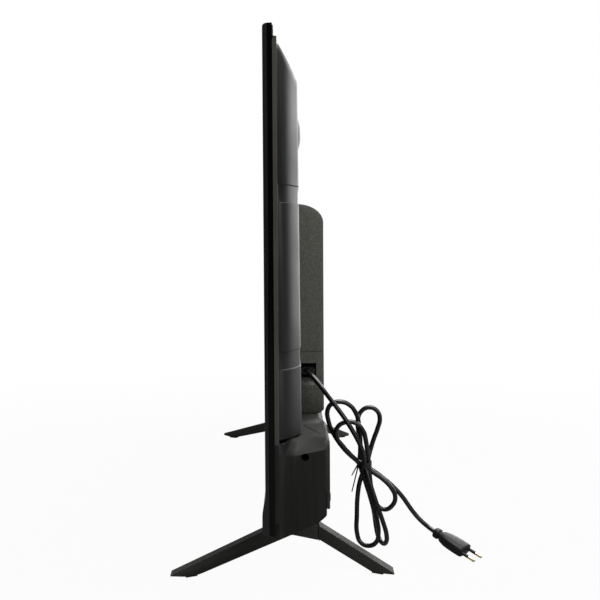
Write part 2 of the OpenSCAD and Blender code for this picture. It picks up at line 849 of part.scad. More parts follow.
// Textured cover over the boards, with the inlet recess, socket window, vents and mount holes
module rear_cover() {
    half = recess_size / 2;
    wall = cover_wall;
    color("#3d3d38")
        difference() {
            union() {
                difference() {
                    along_x(-box_half, box_half)
                        polygon(box_outline(0, y_plateau));
                    along_x(-box_half + wall, box_half - wall)
                        polygon(box_outline(wall, y_plateau - 1));
                }
                block([x_recess - wall, recess_y - half - wall, recess_z - half - ledge_h - wall],
                    [box_half - eps, recess_y + half + wall, recess_z + half + wall]);
                for (p = box_screws)
                    screw_boss(p, y_box - wall + eps);
            }
            block([x_recess, recess_y - half, recess_z - half],
                [box_half + eps, recess_y + half, recess_z + half]);
            along_y(recess_y - half + 1, recess_y + half - 1)
                polygon([[box_half + eps, recess_z - half - ledge_h],
                    [box_half + eps, recess_z - half + eps],
                    [box_half - ledge_run, recess_z - half + eps]]);
            block([x_recess - wall - eps, recess_y - 9, recess_z - 5.8],
                [x_recess + eps, recess_y + 9, recess_z + 5.8]);
            block([-box_half - eps, panel_y0, panel_z0], [-box_half + wall + eps, panel_y1, panel_z1]);
            for (p = mount_points)
                rod_y(y_box - wall - eps, y_box + eps, p[0], p[1], post_r + fit);
            for (p = box_screws)
                boss_bore(p, y_box);
            both_sides() {
                for (i = [0 : vent_count - 1])
                    block([board_in + 14 + i * vent_pitch, y_box - wall - eps, z_main_lo + 110],
                        [board_in + 14 + i * vent_pitch + vent_w, y_box + eps, z_main_lo + 176]);
                block([gate_x - gate_w / 2, y_plateau - eps, z_box_lo - eps],
                    [gate_x + gate_w / 2, y_plateau + 5, z_box_lo + wall + eps]);
            }
        }
}

module rear_cover_screws() {
    color("#17181a")
        for (p = box_screws)
            boss_screw(p);
}

// Outline of the lower cover in Y and Z, drawn in by a wall
function cover_outline(wall, front) = [
    [front, z_cov_lo + wall], [y_keel, z_cov_lo + wall], [y_bilge, z_cov_lo + 12 + wall],
    [y_hip, z_cov_lo + 15 + wall], [y_cover - cover_step - wall, z_cov_lo + 22 + wall],
    [y_cover - cover_step - wall, z_step + wall], [y_cover - wall, z_step + wall],
    [y_cover - wall, z_cov_hi - 3 - wall], [y_cover - 3 - wall, z_cov_hi - wall], [front, z_cov_hi - wall]];

// Form of the lower cover: side outline, plan, and a sloped facet at each upper corner
module cover_form(wall, front) {
    side = cover_half - wall;
    flare = cover_flare - wall;
    difference() {
        intersection() {
            along_x(-flare, flare)
                polygon(cover_outline(wall, front));
            linear_extrude(z_cov_hi + 1)
                polygon([[-flare, front], [flare, front], [flare, y_pan], [side, y_flare],
                    [side, y_cover - 5],
                    [side - 5, y_cover], [5 - side, y_cover], [-side, y_cover - 5], [-side, y_flare],
                        [-flare, y_pan]]);
        }
        both_sides()
            translate([facet_x, facet_y, z_cov_hi - wall])
                rotate(facet_tilt)
                    translate([-box_half, -half_w, 0])
                        cube([2 * box_half, 2 * half_w, 60]);
    }
}

// Cover over the speakers and the feet's brackets
module lower_cover() {
    wall = cover_wall;
    gap = 0.5;
    color("#2a2b29")
        difference() {
            union() {
                difference() {
                    cover_form(0, y_rim);
                    cover_form(wall, y_rim - 1);
                }
                for (p = cover_screws)
                    screw_boss(p, y_cover - wall + eps);
                both_sides()
                    rod_x(x_tab + tab_t, cover_half - eps, side_screw_y, side_screw_z,
                        side_recess_r + wall);
            }
            pan_form(y_pan - gap, y_plateau + gap - eps);
            translate([0, gap, 0])
                pan_form(y_pan - gap, y_plateau - gap);
            block([-half_w, y_rim - eps, z_frame_lo - fit], [half_w, y_pan + fit, z_top]);
            for (p = cover_screws)
                boss_bore(p, y_cover);
            both_sides() {
                rod_x(x_tab + tab_t + 5, cover_half + eps, side_screw_y, side_screw_z, side_recess_r);
                rod_x(x_tab, cover_half, side_screw_y, side_screw_z, screw_hole_r);
                block([neck_x - neck_w / 2 - 1, neck_y0 - 1, z_cov_lo - eps],
                    [neck_x + neck_w / 2 + 1, neck_y1 + 1, z_cov_lo + 24]);
                block([gate_x - gate_w / 2, y_plateau - eps, z_cov_hi - wall - eps],
                    [gate_x + gate_w / 2, y_plateau + 5, z_cov_hi + eps]);
                for (i = [0 : 11])
                    block([speaker_x - 57 + i * 10, y_keel + 3, z_cov_lo - eps],
                        [speaker_x - 53 + i * 10, y_bilge - 3, z_cov_lo + 16]);
            }
            block([pod_x0, y_pod, z_step - eps], [cover_half + 1, y_cover + eps, z_step + 2 * pod_half_h]);
        }
}

// Screws of the lower cover: four from the rear, and one in each side recess
module lower_cover_screws() {
    x0 = x_tab + tab_t + 5;
    color("#1b1c1e") {
        for (p = cover_screws)
            boss_screw(p);
        both_sides()
            union() {
                rod_x(x0, x0 + 2.4, side_screw_y, side_screw_z, head_r + 0.4);
                rod_x(x_tab - 4, x0 + eps, side_screw_y, side_screw_z, screw_r);
            }
    }
}

// Angle brackets on the pan that take the side screws
module side_brackets() {
    half = 11;
    foot_l = 22;
    depth = 14;
    color("#9b9da0")
        both_sides()
            difference() {
                union() {
                    block([x_tab + tab_t - foot_l, y_plateau, side_screw_z - half],
                        [x_tab + tab_t, y_plateau + tab_t, side_screw_z + half]);
                    block([x_tab, y_plateau, side_screw_z - half],
                        [x_tab + tab_t, y_plateau + depth, side_screw_z + half]);
                }
                rod_x(x_tab - eps, x_tab + tab_t + eps, side_screw_y, side_screw_z, screw_hole_r);
            }
}

// Racetrack outline of a speaker's cone
module racetrack(half_x, r, z0, z1) {
    translate([0, 0, z0])
        linear_extrude(z1 - z0)
            union() {
                square([2 * (half_x - r), 2 * r], center = true);
                for (s = [-1, 1])
                    translate([s * (half_x - r), 0])
                        circle(r);
            }
}

// Hollow box that seats on the pan, open below for its driver
module speaker_box() {
    wall = 2;
    color("#1c1c1c")
        difference() {
            block([speaker_x - speaker_w / 2, y_plateau, z_speaker_lo],
                [speaker_x + speaker_w / 2, y_plateau + speaker_depth, z_speaker_hi]);
            block([speaker_x - speaker_w / 2 + wall, y_plateau + wall, z_speaker_lo + wall],
                [speaker_x + speaker_w / 2 - wall, y_plateau + speaker_depth - wall, z_speaker_hi - wall]);
            translate([speaker_x, driver_y, 0])
                racetrack(driver_half_x - 4, driver_half_y - 2.5, z_speaker_lo - eps,
                    z_speaker_lo + wall + eps);
        }
}

// Down-facing driver: frame under the box, cone and magnet inside it
module speaker_driver() {
    frame_t = 2;
    color("#3a3a3a")
        translate([speaker_x, driver_y, 0])
            difference() {
                union() {
                    racetrack(driver_half_x, driver_half_y, z_speaker_lo - frame_t, z_speaker_lo);
                    racetrack(driver_half_x - 5, driver_half_y - 3.5, z_speaker_lo - eps,
                        z_speaker_lo + 10);
                    translate([0, 0, z_speaker_lo])
                        cylinder(h = 24, r = driver_half_y - 4);
                }
                racetrack(driver_half_x - 8, driver_half_y - 5.5, z_speaker_lo - frame_t - eps,
                    z_speaker_lo + 4);
            }
}

module speaker_box_right() {
    speaker_box();
}

module speaker_box_left() {
    mirror([1, 0, 0])
        speaker_box();
}

module speaker_driver_right() {
    speaker_driver();
}

module speaker_driver_left() {
    mirror([1, 0, 0])
        speaker_driver();
}

// Steel angles that carry the feet from the pan
module foot_brackets() {
    x0 = neck_x - neck_w / 2;
    web_top = cover_screw_z;
    color("#9b9da0")
        both_sides()
            difference() {
                along_x(x0, x0 + neck_w)
                    polygon([[neck_y0 + 2, z_neck_hi], [neck_y1 - 2, z_neck_hi],
                        [neck_y1 - 2, z_neck_hi + flange_t],
                        [y_plateau + flange_t, z_neck_hi + flange_t], [y_plateau + flange_t, web_top],
                            [y_plateau, web_top],
                        [y_plateau, z_neck_hi + flange_t], [neck_y0 + 2, z_neck_hi + flange_t]]);
                for (y = foot_screw_y)
                    translate([neck_x, y, z_neck_hi - eps])
                        cylinder(h = flange_t + 2 * eps, r = foot_screw_r + 0.2);
            }
}

// Bar in the plan from a root to a tip, cut to a side profile in length and height
module prong(root, tip, profile) {
    translate([root[0], root[1], 0])
        rotate([0, 0, atan2(tip[1] - root[1], tip[0] - root[0])])
            rotate([90, 0, 0])
                linear_extrude(prong_t, center = true)
                    polygon(profile);
}

// V-shaped foot: a neck that carries the screen, and two splayed prongs
module foot() {
    over = 4;
    front_profile = [[-prong_in, 57], [front_l + over, toe_z + 1 - over * 0.3],
        [front_l + over, toe_z - 0.5],
        [front_heel + sole_l, pad_t], [front_heel, pad_t], [-prong_in, 35]];
    rear_profile = [[-prong_in, 54], [rear_l + over, toe_z - 1.8], [rear_l + over, toe_z - 3],
        [rear_heel + sole_l, pad_t], [rear_heel, pad_t], [6, 31], [-prong_in, 31]];
    color("#262729")
        difference() {
            intersection() {
                union() {
                    along_x(neck_x - neck_w / 2, neck_x + neck_w / 2)
                        polygon([[neck_y0, z_neck_lo + 7], [neck_y0 + 7, z_neck_lo + 7],
                            [neck_y1, z_neck_lo], [neck_y1, z_neck_hi], [neck_y0, z_neck_hi]]);
                    prong(front_root, front_tip, front_profile);
                    prong(rear_root, rear_tip, rear_profile);
                }
                block([0, -foot_reach, 0], [2 * half_w, foot_reach, z_neck_hi]);
            }
            for (y = foot_screw_y)
                translate([neck_x, y, 0]) {
                    cylinder(h = z_neck_hi + eps, r = foot_screw_r + 0.2);
                    cylinder(h = z_neck_hi - foot_seat, r = 5);
                }
        }
}

module foot_right() {
    foot();
}

module foot_left() {
    mirror([1, 0, 0])
        foot();
}

// Rubber pad under the sole of a prong
module sole_pad(root, tip, heel) {
    translate([root[0], root[1], 0])
        rotate([0, 0, atan2(tip[1] - root[1], tip[0] - root[0])])
            translate([heel, -pad_w / 2, 0])
                cube([sole_l, pad_w, pad_t]);
}

module foot_pads() {
    color("#1a1a1a")
        both_sides() {
            sole_pad(front_root, front_tip, front_heel);
            sole_pad(rear_root, rear_tip, rear_heel);
        }
}

// Screws up through the necks into the brackets
module foot_screws() {
    head_h = 3;
    seat = z_neck_hi - foot_seat;
    color("#8f9192")
        both_sides()
            for (y = foot_screw_y)
                translate([neck_x, y, 0])
                    union() {
                        translate([0, 0, seat - head_h])
                            cylinder(h = head_h, r = 4);
                        translate([0, 0, seat - eps])
                            cylinder(h = foot_seat + flange_t + 2, r = foot_screw_r);
                    }
}

// Dark strip that holds the keys, with two posts for the key board
module key_pod() {
    post = 2;
    color("#0f1010")
        difference() {
            union() {
                difference() {
                    block([pod_x0 + fit, y_pod, z_step], [pod_x1, y_cover, z_step + 2 * pod_half_h - fit]);
                    translate([pod_x1, y_cover - 4, z_step - eps])
                        rotate([0, 0, 45])
                            cube(2 * pod_half_h + 1);
                }
                for (x = [pod_x0 + 3, key_x(5) + 11])
                    rod_y(key_board_y, y_pod + eps, x, key_z, post);
            }
            for (i = [0 : 5])
                block([key_x(i) - key_w / 2 - fit, y_pod - eps, key_z - key_h / 2 - fit],
                    [key_x(i) + key_w / 2 + fit, y_cover + eps, key_z + key_h / 2 + fit]);
        }
}

// Small board with a tact switch behind each key
module key_board() {
    color("#1d6b3a")
        union() {
            block([pod_x0 + 1, key_board_y - board_t, key_z - 8], [key_x(5) + 14, key_board_y, key_z + 8]);
            for (i = [0 : 5]) {
                block([key_x(i) - 3, key_board_y - eps, key_z - 3],
                    [key_x(i) + 3, key_board_y + switch_h - 1, key_z + 3]);
                rod_y(key_board_y, y_switch, key_x(i), key_z, 1.2);
            }
        }
}

// One key: a cap in the pod's hole, a collar behind it and a stem to its switch
module key(i) {
    x = key_x(i);
    color("#1a1b1c")
        union() {
            block([x - key_w / 2, y_collar - eps, key_z - key_h / 2],
                [x + key_w / 2, y_cover + key_proud, key_z + key_h / 2]);
            block([x - key_w / 2 - collar_edge, y_collar - collar_t, key_z - key_h / 2 - collar_edge],
                [x + key_w / 2 + collar_edge, y_collar, key_z + key_h / 2 + collar_edge]);
            rod_y(y_collar - collar_t - stem_l, y_collar, x, key_z, 1.5);
        }
}

// Connector in the inlet: nose with pin holes, grip, and a tapered relief around the lead
module appliance_connector() {
    x1 = x_recess + connector_l;
    color("#131313")
        difference() {
            union() {
                figure_eight(x_recess - inlet_well + 1, x_recess + eps, nose_r);
                for (s = [-1, 1])
                    rod_x(x_recess, x1, recess_y + s * core_pitch / 2, recess_z, connector_r);
                block([x_recess, recess_y - core_pitch / 2, recess_z - connector_r],
                    [x1, recess_y + core_pitch / 2, recess_z + connector_r]);
                translate([x1 - eps, recess_y, recess_z])
                    rotate([0, 90, 0])
                        cylinder(h = relief_l + eps, r1 = 4.4, r2 = 3);
            }
            for (s = [-1, 1])
                rod_x(x_recess - inlet_well, x_recess - 2, recess_y + s * core_pitch / 2, recess_z,
                    inlet_pin_r + fit);
        }
}

function unit(v) = v / norm(v);
function along(p, i) = unit(p[min(i + 1, len(p) - 1)] - p[max(i - 1, 0)]);
// Side direction of a ring, from a direction that no stretch of the lead takes
function ring_side(d) = unit(cross(d, [0, 1, 0.6]));

// Round lead swept along its route
module lead(route) {
    n = lead_sides;
    rings = len(route);
    points = [for (i = [0 : rings - 1])
        let (d = along(route, i), s = ring_side(d), u = cross(s, d))
            for (k = [0 : n - 1]) route[i] + lead_r * (cos(k * 360 / n) * s + sin(k * 360 / n) * u)];
    walls = [for (i = [0 : rings - 2], k = [0 : n - 1])
        [i * n + k, i * n + (k + 1) % n, (i + 1) * n + (k + 1) % n, (i + 1) * n + k]];
    ends = [[for (k = [n - 1 : -1 : 0]) k], [for (k = [0 : n - 1]) (rings - 1) * n + k]];
    polyhedron(points, concat(walls, ends));
}

module cord_lead() {
    color("#141415")
        lead(lead_route);
}

module cord_tail() {
    color("#141415")
        lead(tail_route);
}

// Outer shape of the tied bundle
module cord_hank() {
    color("#141415")
        along_x(hank_x0, hank_x1)
            polygon(hank_outline);
}

// Band around the bundle and the lead
module cable_tie() {
    x1 = hank_x1 + tie_room;
    color("#0d0d0d")
        difference() {
            block([hank_x0 - tie_t, tie_y0 - tie_t, tie_z0], [x1 + tie_t, tie_y1 + tie_t, tie_z1]);
            block([hank_x0, tie_y0, tie_z0 - eps], [x1, tie_y1, tie_z1 + eps]);
        }
}

// Flat two-pin plug, tilted on the floor by its lead
module mains_plug() {
    half_t = 7;
    half_w_plug = 13;
    color("#141414")
        translate(plug_face)
            rotate(plug_turn)
                difference() {
                    union() {
                        translate([0, 0, -plug_body_l])
                            linear_extrude(plug_body_l)
                                polygon([[-half_t, -8], [-4, -half_w_plug], [4, -half_w_plug], [half_t, -8],
                                    [half_t, 8], [4, half_w_plug], [-4, half_w_plug], [-half_t, 8]]);
                        translate([0, 0, -plug_body_l - plug_shoulder_l])
                            cylinder(h = plug_shoulder_l + eps, r1 = 5, r2 = 6.8);
                        translate([0, 0, -plug_body_l - plug_shoulder_l - plug_relief_l])
                            cylinder(h = plug_relief_l + eps, r1 = 3.2, r2 = 4.8);
                    }
                    for (s = [-1, 1])
                        translate([0, s * plug_pitch / 2, -8])
                            cylinder(h = 9, r = plug_pin_r);
                }
}

module plug_pins() {
    color("#c8b27a")
        translate(plug_face)
            rotate(plug_turn)
                for (s = [-1, 1])
                    translate([0, s * plug_pitch / 2, -8])
                        cylinder(h = 8 + plug_pin_l, r = plug_pin_r);
}

front_bezel();
ir_window();
ir_board();
lcd_panel();
panel_frame();
optical_films();
diffuser_plate();
diffuser_posts();
reflector_sheet();
led_bars();
led_lenses();
backlight_tray();
rim_screws();
source_boards();
panel_flex();
wall_mount_posts();
main_board();
heat_sink();
side_jacks();
jack_panel();
power_board();
power_parts();
timing_board();
panel_cable();
board_posts();
board_screws();
mains_inlet();
inlet_pins();
rear_cover();
rear_cover_screws();
lower_cover();
lower_cover_screws();
side_brackets();
speaker_box_left();
speaker_box_right();
speaker_driver_left();
speaker_driver_right();
foot_brackets();
foot_left();
foot_right();
foot_pads();
foot_screws();
key_pod();
key_board();
for (i = [0 : len(key_names) - 1])
    key(i);
appliance_connector();
cord_lead();
cord_hank();
cord_tail();
cable_tie();
mains_plug();
plug_pins();
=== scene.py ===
"""Studio scene of a flat screen television on two V-shaped feet, with its tied mains lead.

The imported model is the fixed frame. Each sub-assembly is a class that models its visible pieces, hides the
plain solids that they stand for and dresses the solids that stay.
"""

import json
import logging
import math
from dataclasses import dataclass
from enum import Enum
from typing import Any, Callable, Iterable

import bmesh
import bpy
from bmesh.types import BMEdge, BMesh, BMFace, BMVert
from bpy.types import Material, Node, NodeSocket, Object
from mathutils import Matrix, Vector

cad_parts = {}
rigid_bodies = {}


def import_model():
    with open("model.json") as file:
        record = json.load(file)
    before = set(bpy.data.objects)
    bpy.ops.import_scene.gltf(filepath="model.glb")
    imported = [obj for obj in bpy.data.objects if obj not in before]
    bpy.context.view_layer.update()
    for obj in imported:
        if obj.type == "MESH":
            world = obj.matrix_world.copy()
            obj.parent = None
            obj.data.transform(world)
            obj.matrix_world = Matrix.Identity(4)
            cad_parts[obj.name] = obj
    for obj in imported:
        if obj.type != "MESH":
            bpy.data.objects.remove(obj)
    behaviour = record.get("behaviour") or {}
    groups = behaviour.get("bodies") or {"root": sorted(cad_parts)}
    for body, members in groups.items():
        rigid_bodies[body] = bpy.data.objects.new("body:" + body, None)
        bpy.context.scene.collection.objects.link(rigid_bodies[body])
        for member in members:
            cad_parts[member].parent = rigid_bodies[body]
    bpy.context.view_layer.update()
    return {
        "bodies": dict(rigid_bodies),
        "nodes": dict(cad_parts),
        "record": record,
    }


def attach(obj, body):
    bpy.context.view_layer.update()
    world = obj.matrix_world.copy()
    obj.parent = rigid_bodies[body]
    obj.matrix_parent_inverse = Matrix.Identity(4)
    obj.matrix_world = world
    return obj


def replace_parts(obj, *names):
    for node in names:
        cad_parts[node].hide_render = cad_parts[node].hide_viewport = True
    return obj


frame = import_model()
LOG = logging.getLogger("television")
MM = 0.001
TV = "tv"
# Distances in metres that count as none: on one plane, at one place, and for joining corners
CUT_SLACK = 1e-6
SAME = 1e-5
WELD = 2e-6
# Cosine of the greatest turn of a face that still looks one way
STRAIGHT = 0.998
# Cosine of the greatest turn of a face that looks one way on the whole
FACING = 0.5
CIRCLE_POINTS = 24
# Free length that an edge needs beside a rounding, in widths of the rounding
ROUNDING_ROOM = 2.2
# Greatest turn in degrees between faces that are joined, and least turn in radians inside a curve
FLAT_TURN = 0.5
CURVE_TURN = 0.01
# Part of a noise's range that the tones and the gloss follow
NOISE_RANGE = (0.3, 0.7)
Colour = tuple[float, float, float]
Point = tuple[float, float, float]
Triple = tuple[float, float, float]
Pair = tuple[float, float]
Rect = tuple[float, float, float, float]
Outline = list[Pair]


class Axis(Enum):
    """The frame's axes."""

    X = (1.0, 0.0, 0.0)
    Y = (0.0, 1.0, 0.0)
    Z = (0.0, 0.0, 1.0)

    @property
    def way(self) -> Vector:
        """Direction of the axis."""
        return Vector(self.value)


class Side(Enum):
    """The two sides of the screen, as a viewer sees them."""

    LEFT = -1
    RIGHT = 1


class Slot(Enum):
    """Names of some material slots of the record."""

    BEZEL = "gloss_black"
    TRAY = "tray_paint"
    REAR = "textured_plastic"
    LOWER = "satin_plastic"
    FOOT = "foot_coat"
    KEY = "key_black"
    LEAD = "lead_black"
    PIN = "brass_pin"
    ZINC = "zinc_steel"


class NodeDesk:
    """Node tree of one material, with short ways to add and join its nodes."""

    def __init__(self, name: str) -> None:
        """Start the material.

        Args:
            name: Name of the material.
        """
        self.material = bpy.data.materials.new(name)
        self.material.use_nodes = True
        self.tree = self.material.node_tree
        self.shader = next(n for n in self.tree.nodes if n.type == "BSDF_PRINCIPLED")
        self.place = self.tree.nodes.new("ShaderNodeTexCoord").outputs["Object"]

    def add(self, kind: str, **values: Any) -> Node:
        """Add a node and fill its inputs.

        Args:
            kind: Node type without its ShaderNode prefix.
            values: Input names with a socket to join or a value to set.

        Returns:
            The new node.
        """
        node = self.tree.nodes.new("ShaderNode" + kind)
        for name, value in values.items():
            self.feed(node.inputs[name], value)
        return node

    def feed(self, socket: NodeSocket, value: Any) -> None:
        """Join an output to a socket, or set the socket's own value.

        Args:
            socket: Input to fill.
            value: Output socket, or a plain value.
        """
        if isinstance(value, NodeSocket):
            self.tree.links.new(value, socket)
        else:
            socket.default_value = value

    def stretched(self, scale: Triple) -> NodeSocket:
        """Object coordinates, stretched by a factor along each axis.

        Args:
            scale: Factors along X, Y and Z.

        Returns:
            The mapped coordinates.
        """
        return self.add("Mapping", Vector=self.place, Scale=scale).outputs["Vector"]

    def tones(self, driver: NodeSocket, low: Colour, high: Colour) -> NodeSocket:
        """Colour that runs from one tone to another with a noise.

        Args:
            driver: Value that picks the tone.
            low: Linear colour at the low end.
            high: Linear colour at the high end.

        Returns:
            The mixed colour.
        """
        ramp = self.add("ValToRGB", Fac=driver)
        ends = ramp.color_ramp.elements
        for end, position, tone in zip(ends, NOISE_RANGE, (low, high)):
            end.position = position
            end.color = (*tone, 1.0)
        return ramp.outputs["Color"]

    def spread(self, driver: NodeSocket, low: float, high: float) -> NodeSocket:
        """Value that runs between two limits with a noise.

        Args:
            driver: Value that picks the place between the limits.
            low: Result at the low end.
            high: Result at the high end.

        Returns:
            The mapped value.
        """
        return self.mapped(driver, NOISE_RANGE, (low, high))

    def mapped(self, driver: NodeSocket, taken: Pair, given: Pair) -> NodeSocket:
        """Value mapped from one range to another.

        Args:
            driver: Value to map.
            taken: Range of the driver.
            given: Range of the result.

        Returns:
            The mapped value.
        """
        node = self.add("MapRange", Value=driver)
        for name, value in zip(("From Min", "From Max", "To Min", "To Max"), (*taken, *given)):
            node.inputs[name].default_value = value
        return node.outputs["Result"]


@dataclass(frozen=True)
class Finish:
    """Surface of moulded plastic or coated metal: clouded tone, uneven gloss and a fine grain."""

    name: str
    colour: Colour
    roughness: float = 0.5
    metallic: float = 0.0
    tone_spread: float = 0.12
    patch: float = 14.0
    gloss_spread: float = 0.05
    grain: float = 1400.0
    grain_depth: float = 0.00006
    stretch: Triple = (1.0, 1.0, 1.0)
    specular: float = 0.5
    patch_detail: float = 4.0
    grain_detail: float = 2.0

    def material(self) -> Material:
        """Material of this finish, made once."""
        return bpy.data.materials.get(self.name) or self.make()

    def make(self) -> Material:
        """Build the node tree.

        Returns:
            The new material.
        """
        desk = NodeDesk(self.name)
        place = desk.stretched(self.stretch)
        cloud = desk.add("TexNoise", Vector=place, Scale=self.patch, Detail=self.patch_detail).outputs["Fac"]
        fine = desk.add("TexNoise", Vector=place, Scale=self.grain, Detail=self.grain_detail).outputs["Fac"]
        shader = desk.shader
        shader.inputs["Metallic"].default_value = self.metallic
        shader.inputs["Specular IOR Level"].default_value = self.specular
        desk.feed(shader.inputs["Base Color"], self.tinted(desk, cloud))
        low, high = self.roughness - self.gloss_spread, self.roughness + self.gloss_spread
        desk.feed(shader.inputs["Roughness"], desk.spread(cloud, low, high))
        bump = desk.add("Bump", Height=fine, Distance=self.grain_depth)
        desk.feed(shader.inputs["Normal"], bump.outputs["Normal"])
        return desk.material

    def tinted(self, desk: NodeDesk, cloud: NodeSocket) -> NodeSocket:
        """Base colour, a little darker and lighter in soft clouds.

        Args:
            desk: Node tree of the material.
            cloud: Slow noise.

        Returns:
            The colour.
        """
        low = tuple(c * (1.0 - self.tone_spread) for c in self.colour)
        high = tuple(c * (1.0 + self.tone_spread) for c in self.colour)
        return desk.tones(cloud, low, high)


@dataclass(frozen=True)
class BoardFinish(Finish):
    """Circuit board: solder resist over rows of copper tracks."""

    track: Colour = (0.06, 0.3, 0.12)
    track_scale: float = 90.0
    shade: float = 0.8

    def tinted(self, desk: NodeDesk, cloud: NodeSocket) -> NodeSocket:
        """Resist colour with lighter tracks.

        Args:
            desk: Node tree of the material.
            cloud: Slow noise; not used.

        Returns:
            The colour.
        """
        flat = desk.add("Mapping", Vector=desk.place, Rotation=(math.radians(90.0), 0.0, 0.0))
        tracks = desk.add("TexBrick", Vector=flat.outputs["Vector"], Scale=self.track_scale)
        tracks.inputs["Color1"].default_value = (*self.colour, 1.0)
        tracks.inputs["Color2"].default_value = (*(c * self.shade for c in self.colour), 1.0)
        tracks.inputs["Mortar"].default_value = (*self.track, 1.0)
        return tracks.outputs["Color"]


@dataclass(frozen=True)
class ScreenFinish(Finish):
    """Dark LCD cell behind an anti-glare front, with the faint columns of its pixels."""

    column: float = 1200.0
    column_light: float = 1.25

    def tinted(self, desk: NodeDesk, cloud: NodeSocket) -> NodeSocket:
        """Almost black, with faint upright columns.

        Args:
            desk: Node tree of the material.
            cloud: Slow noise; not used.

        Returns:
            The colour.
        """
        columns = desk.add("TexWave", Vector=desk.place, Scale=self.column).outputs["Fac"]
        high = tuple(c * self.column_light for c in self.colour)
        return desk.tones(columns, self.colour, high)


GLOSS_BLACK = Finish("gloss_black_bezel", (0.0015, 0.0015, 0.0016), 0.1, gloss_spread=0.03,
                     grain_depth=0.000004, grain=300.0, specular=0.12)
# Lighter tone for the front lip of the bezel's sides: painted reflection of the glints on the glossy lip.
LIP_REFLECTION_TONE = Finish("lip_painted_reflection", (0.011, 0.011, 0.0115), 0.14, gloss_spread=0.04, grain_depth=0.000004,
                   grain=300.0, specular=0.25)
TRAY_PAINT = Finish("charcoal_pressed_steel", (0.0118, 0.012, 0.0126), 0.5, grain=900.0, grain_depth=0.00003,
                    specular=0.2)
RIM_ZINC = Finish("folded_rim", (0.062, 0.059, 0.05), 0.45, grain=700.0, grain_depth=0.00002, specular=0.15)
REAR_TEXTURE = Finish("spark_textured_plastic", (0.064, 0.0645, 0.0545), 0.62, tone_spread=0.35, patch=420.0,
                      grain=1100.0, grain_depth=0.00022, specular=0.3)
LOWER_SATIN = Finish("satin_charcoal_plastic", (0.0122, 0.0128, 0.0104), 0.62, tone_spread=0.22, patch=240.0,
                     grain=1500.0, grain_depth=0.00008, stretch=(1.0, 1.0, 0.03), specular=0.16)
FOOT_SATIN = Finish("satin_black_foot", (0.033, 0.033, 0.0298), 0.6, tone_spread=0.15, grain=1700.0,
                    grain_depth=0.00006, specular=0.12)
KEY_PLASTIC = Finish("black_key_plastic", (0.011, 0.011, 0.0115), 0.4, grain=2000.0, grain_depth=0.00004,
                     specular=0.25)
LEAD_VINYL = Finish("black_vinyl", (0.0035, 0.0035, 0.0038), 0.27, tone_spread=0.2, patch=40.0, grain=500.0,
                    grain_depth=0.000015, specular=0.4)
PLUG_SATIN = Finish("satin_vinyl", (0.007, 0.007, 0.0068), 0.5, tone_spread=0.2, patch=40.0, grain=900.0,
                    grain_depth=0.00003, specular=0.18)
# Near-black finish of the pan's groove above the lower cover: the painted shadow of the gap there.
GAP_SHADOW_BLACK = Finish("painted_gap_shadow", (0.002, 0.002, 0.002), 0.9, grain_depth=0.0001, specular=0.0)
PIN_METAL = Finish("plated_brass", (0.68, 0.53, 0.3), 0.28, metallic=1.0, grain=900.0, grain_depth=0.00002)
ZINC = Finish("zinc_plate", (0.5, 0.5, 0.51), 0.36, metallic=1.0, grain=400.0, grain_depth=0.00003,
              stretch=(0.1, 1.0, 1.0))

NODE_FINISHES: dict[str, Finish] = {
    "smoked_window": Finish("smoked_red_window", (0.03, 0.006, 0.007), 0.12, grain_depth=0.000004),
    "circuit_board": BoardFinish("green_board", (0.012, 0.11, 0.045), 0.4, grain=700.0),
    "screen_glass": ScreenFinish("lcd_front", (0.0085, 0.009, 0.0105), 0.3, grain=2500.0,
                                 grain_depth=0.00001),
    "frame_grey": Finish("grey_brown_frame", (0.12, 0.11, 0.1), 0.55),
    "white_optical": Finish("white_sheet", (0.82, 0.82, 0.8), 0.6, tone_spread=0.03),
    "clear_lens": Finish("lens_resin", (0.8, 0.84, 0.87), 0.1, tone_spread=0.03, grain_depth=0.000004),
    "bare_aluminium": Finish("bare_aluminium", (0.66, 0.67, 0.68), 0.38, metallic=1.0,
                             stretch=(0.1, 1.0, 1.0)),
    "tray_paint": TRAY_PAINT,
    "zinc_steel": ZINC,
    "black_screw": Finish("black_oxide", (0.03, 0.03, 0.032), 0.4, metallic=0.8),
    "brass_pin": PIN_METAL,
    "textured_plastic": REAR_TEXTURE,
    "satin_plastic": LOWER_SATIN,
    "speaker_black": Finish("speaker_plastic", (0.015, 0.015, 0.015), 0.55),
    "component_yellow": Finish("wound_parts", (0.5, 0.38, 0.06), 0.5, tone_spread=0.5, patch=50.0),
    "flex_film": Finish("amber_film", (0.5, 0.27, 0.05), 0.3),
    "foot_coat": FOOT_SATIN,
    "black_rubber": Finish("pad_rubber", (0.014, 0.014, 0.014), 0.75, grain=1200.0, grain_depth=0.0001),
    "key_black": KEY_PLASTIC,
    "lead_black": LEAD_VINYL,
    "gloss_black": GLOSS_BLACK,
}


def metres(*values: float) -> Vector:
    """Point in metres from millimetres."""
    return Vector(values) * MM


def part_way(value: float, start: float, end: float) -> float:
    """Share of the way from a start to an end, between 0 and 1."""
    return min(max((value - start) / (end - start), 0.0), 1.0)


def arc(centre: Pair, radius: float, start: float, turn: float, steps: int) -> Outline:
    """Points along an arc in a plane.

    Args:
        centre: Middle of the arc.
        radius: Radius of the arc.
        start: First angle in degrees.
        turn: Angle that the arc covers, in degrees.
        steps: Number of steps along it.

    Returns:
        The points, both ends among them.
    """
    angles = [math.radians(start + turn * i / steps) for i in range(steps + 1)]
    return [(centre[0] + radius * math.cos(a), centre[1] + radius * math.sin(a)) for a in angles]


def circle(centre: Pair, radius: float) -> Outline:
    """Points of a whole circle in a plane."""
    return arc(centre, radius, 0.0, 360.0 - 360.0 / CIRCLE_POINTS, CIRCLE_POINTS - 1)


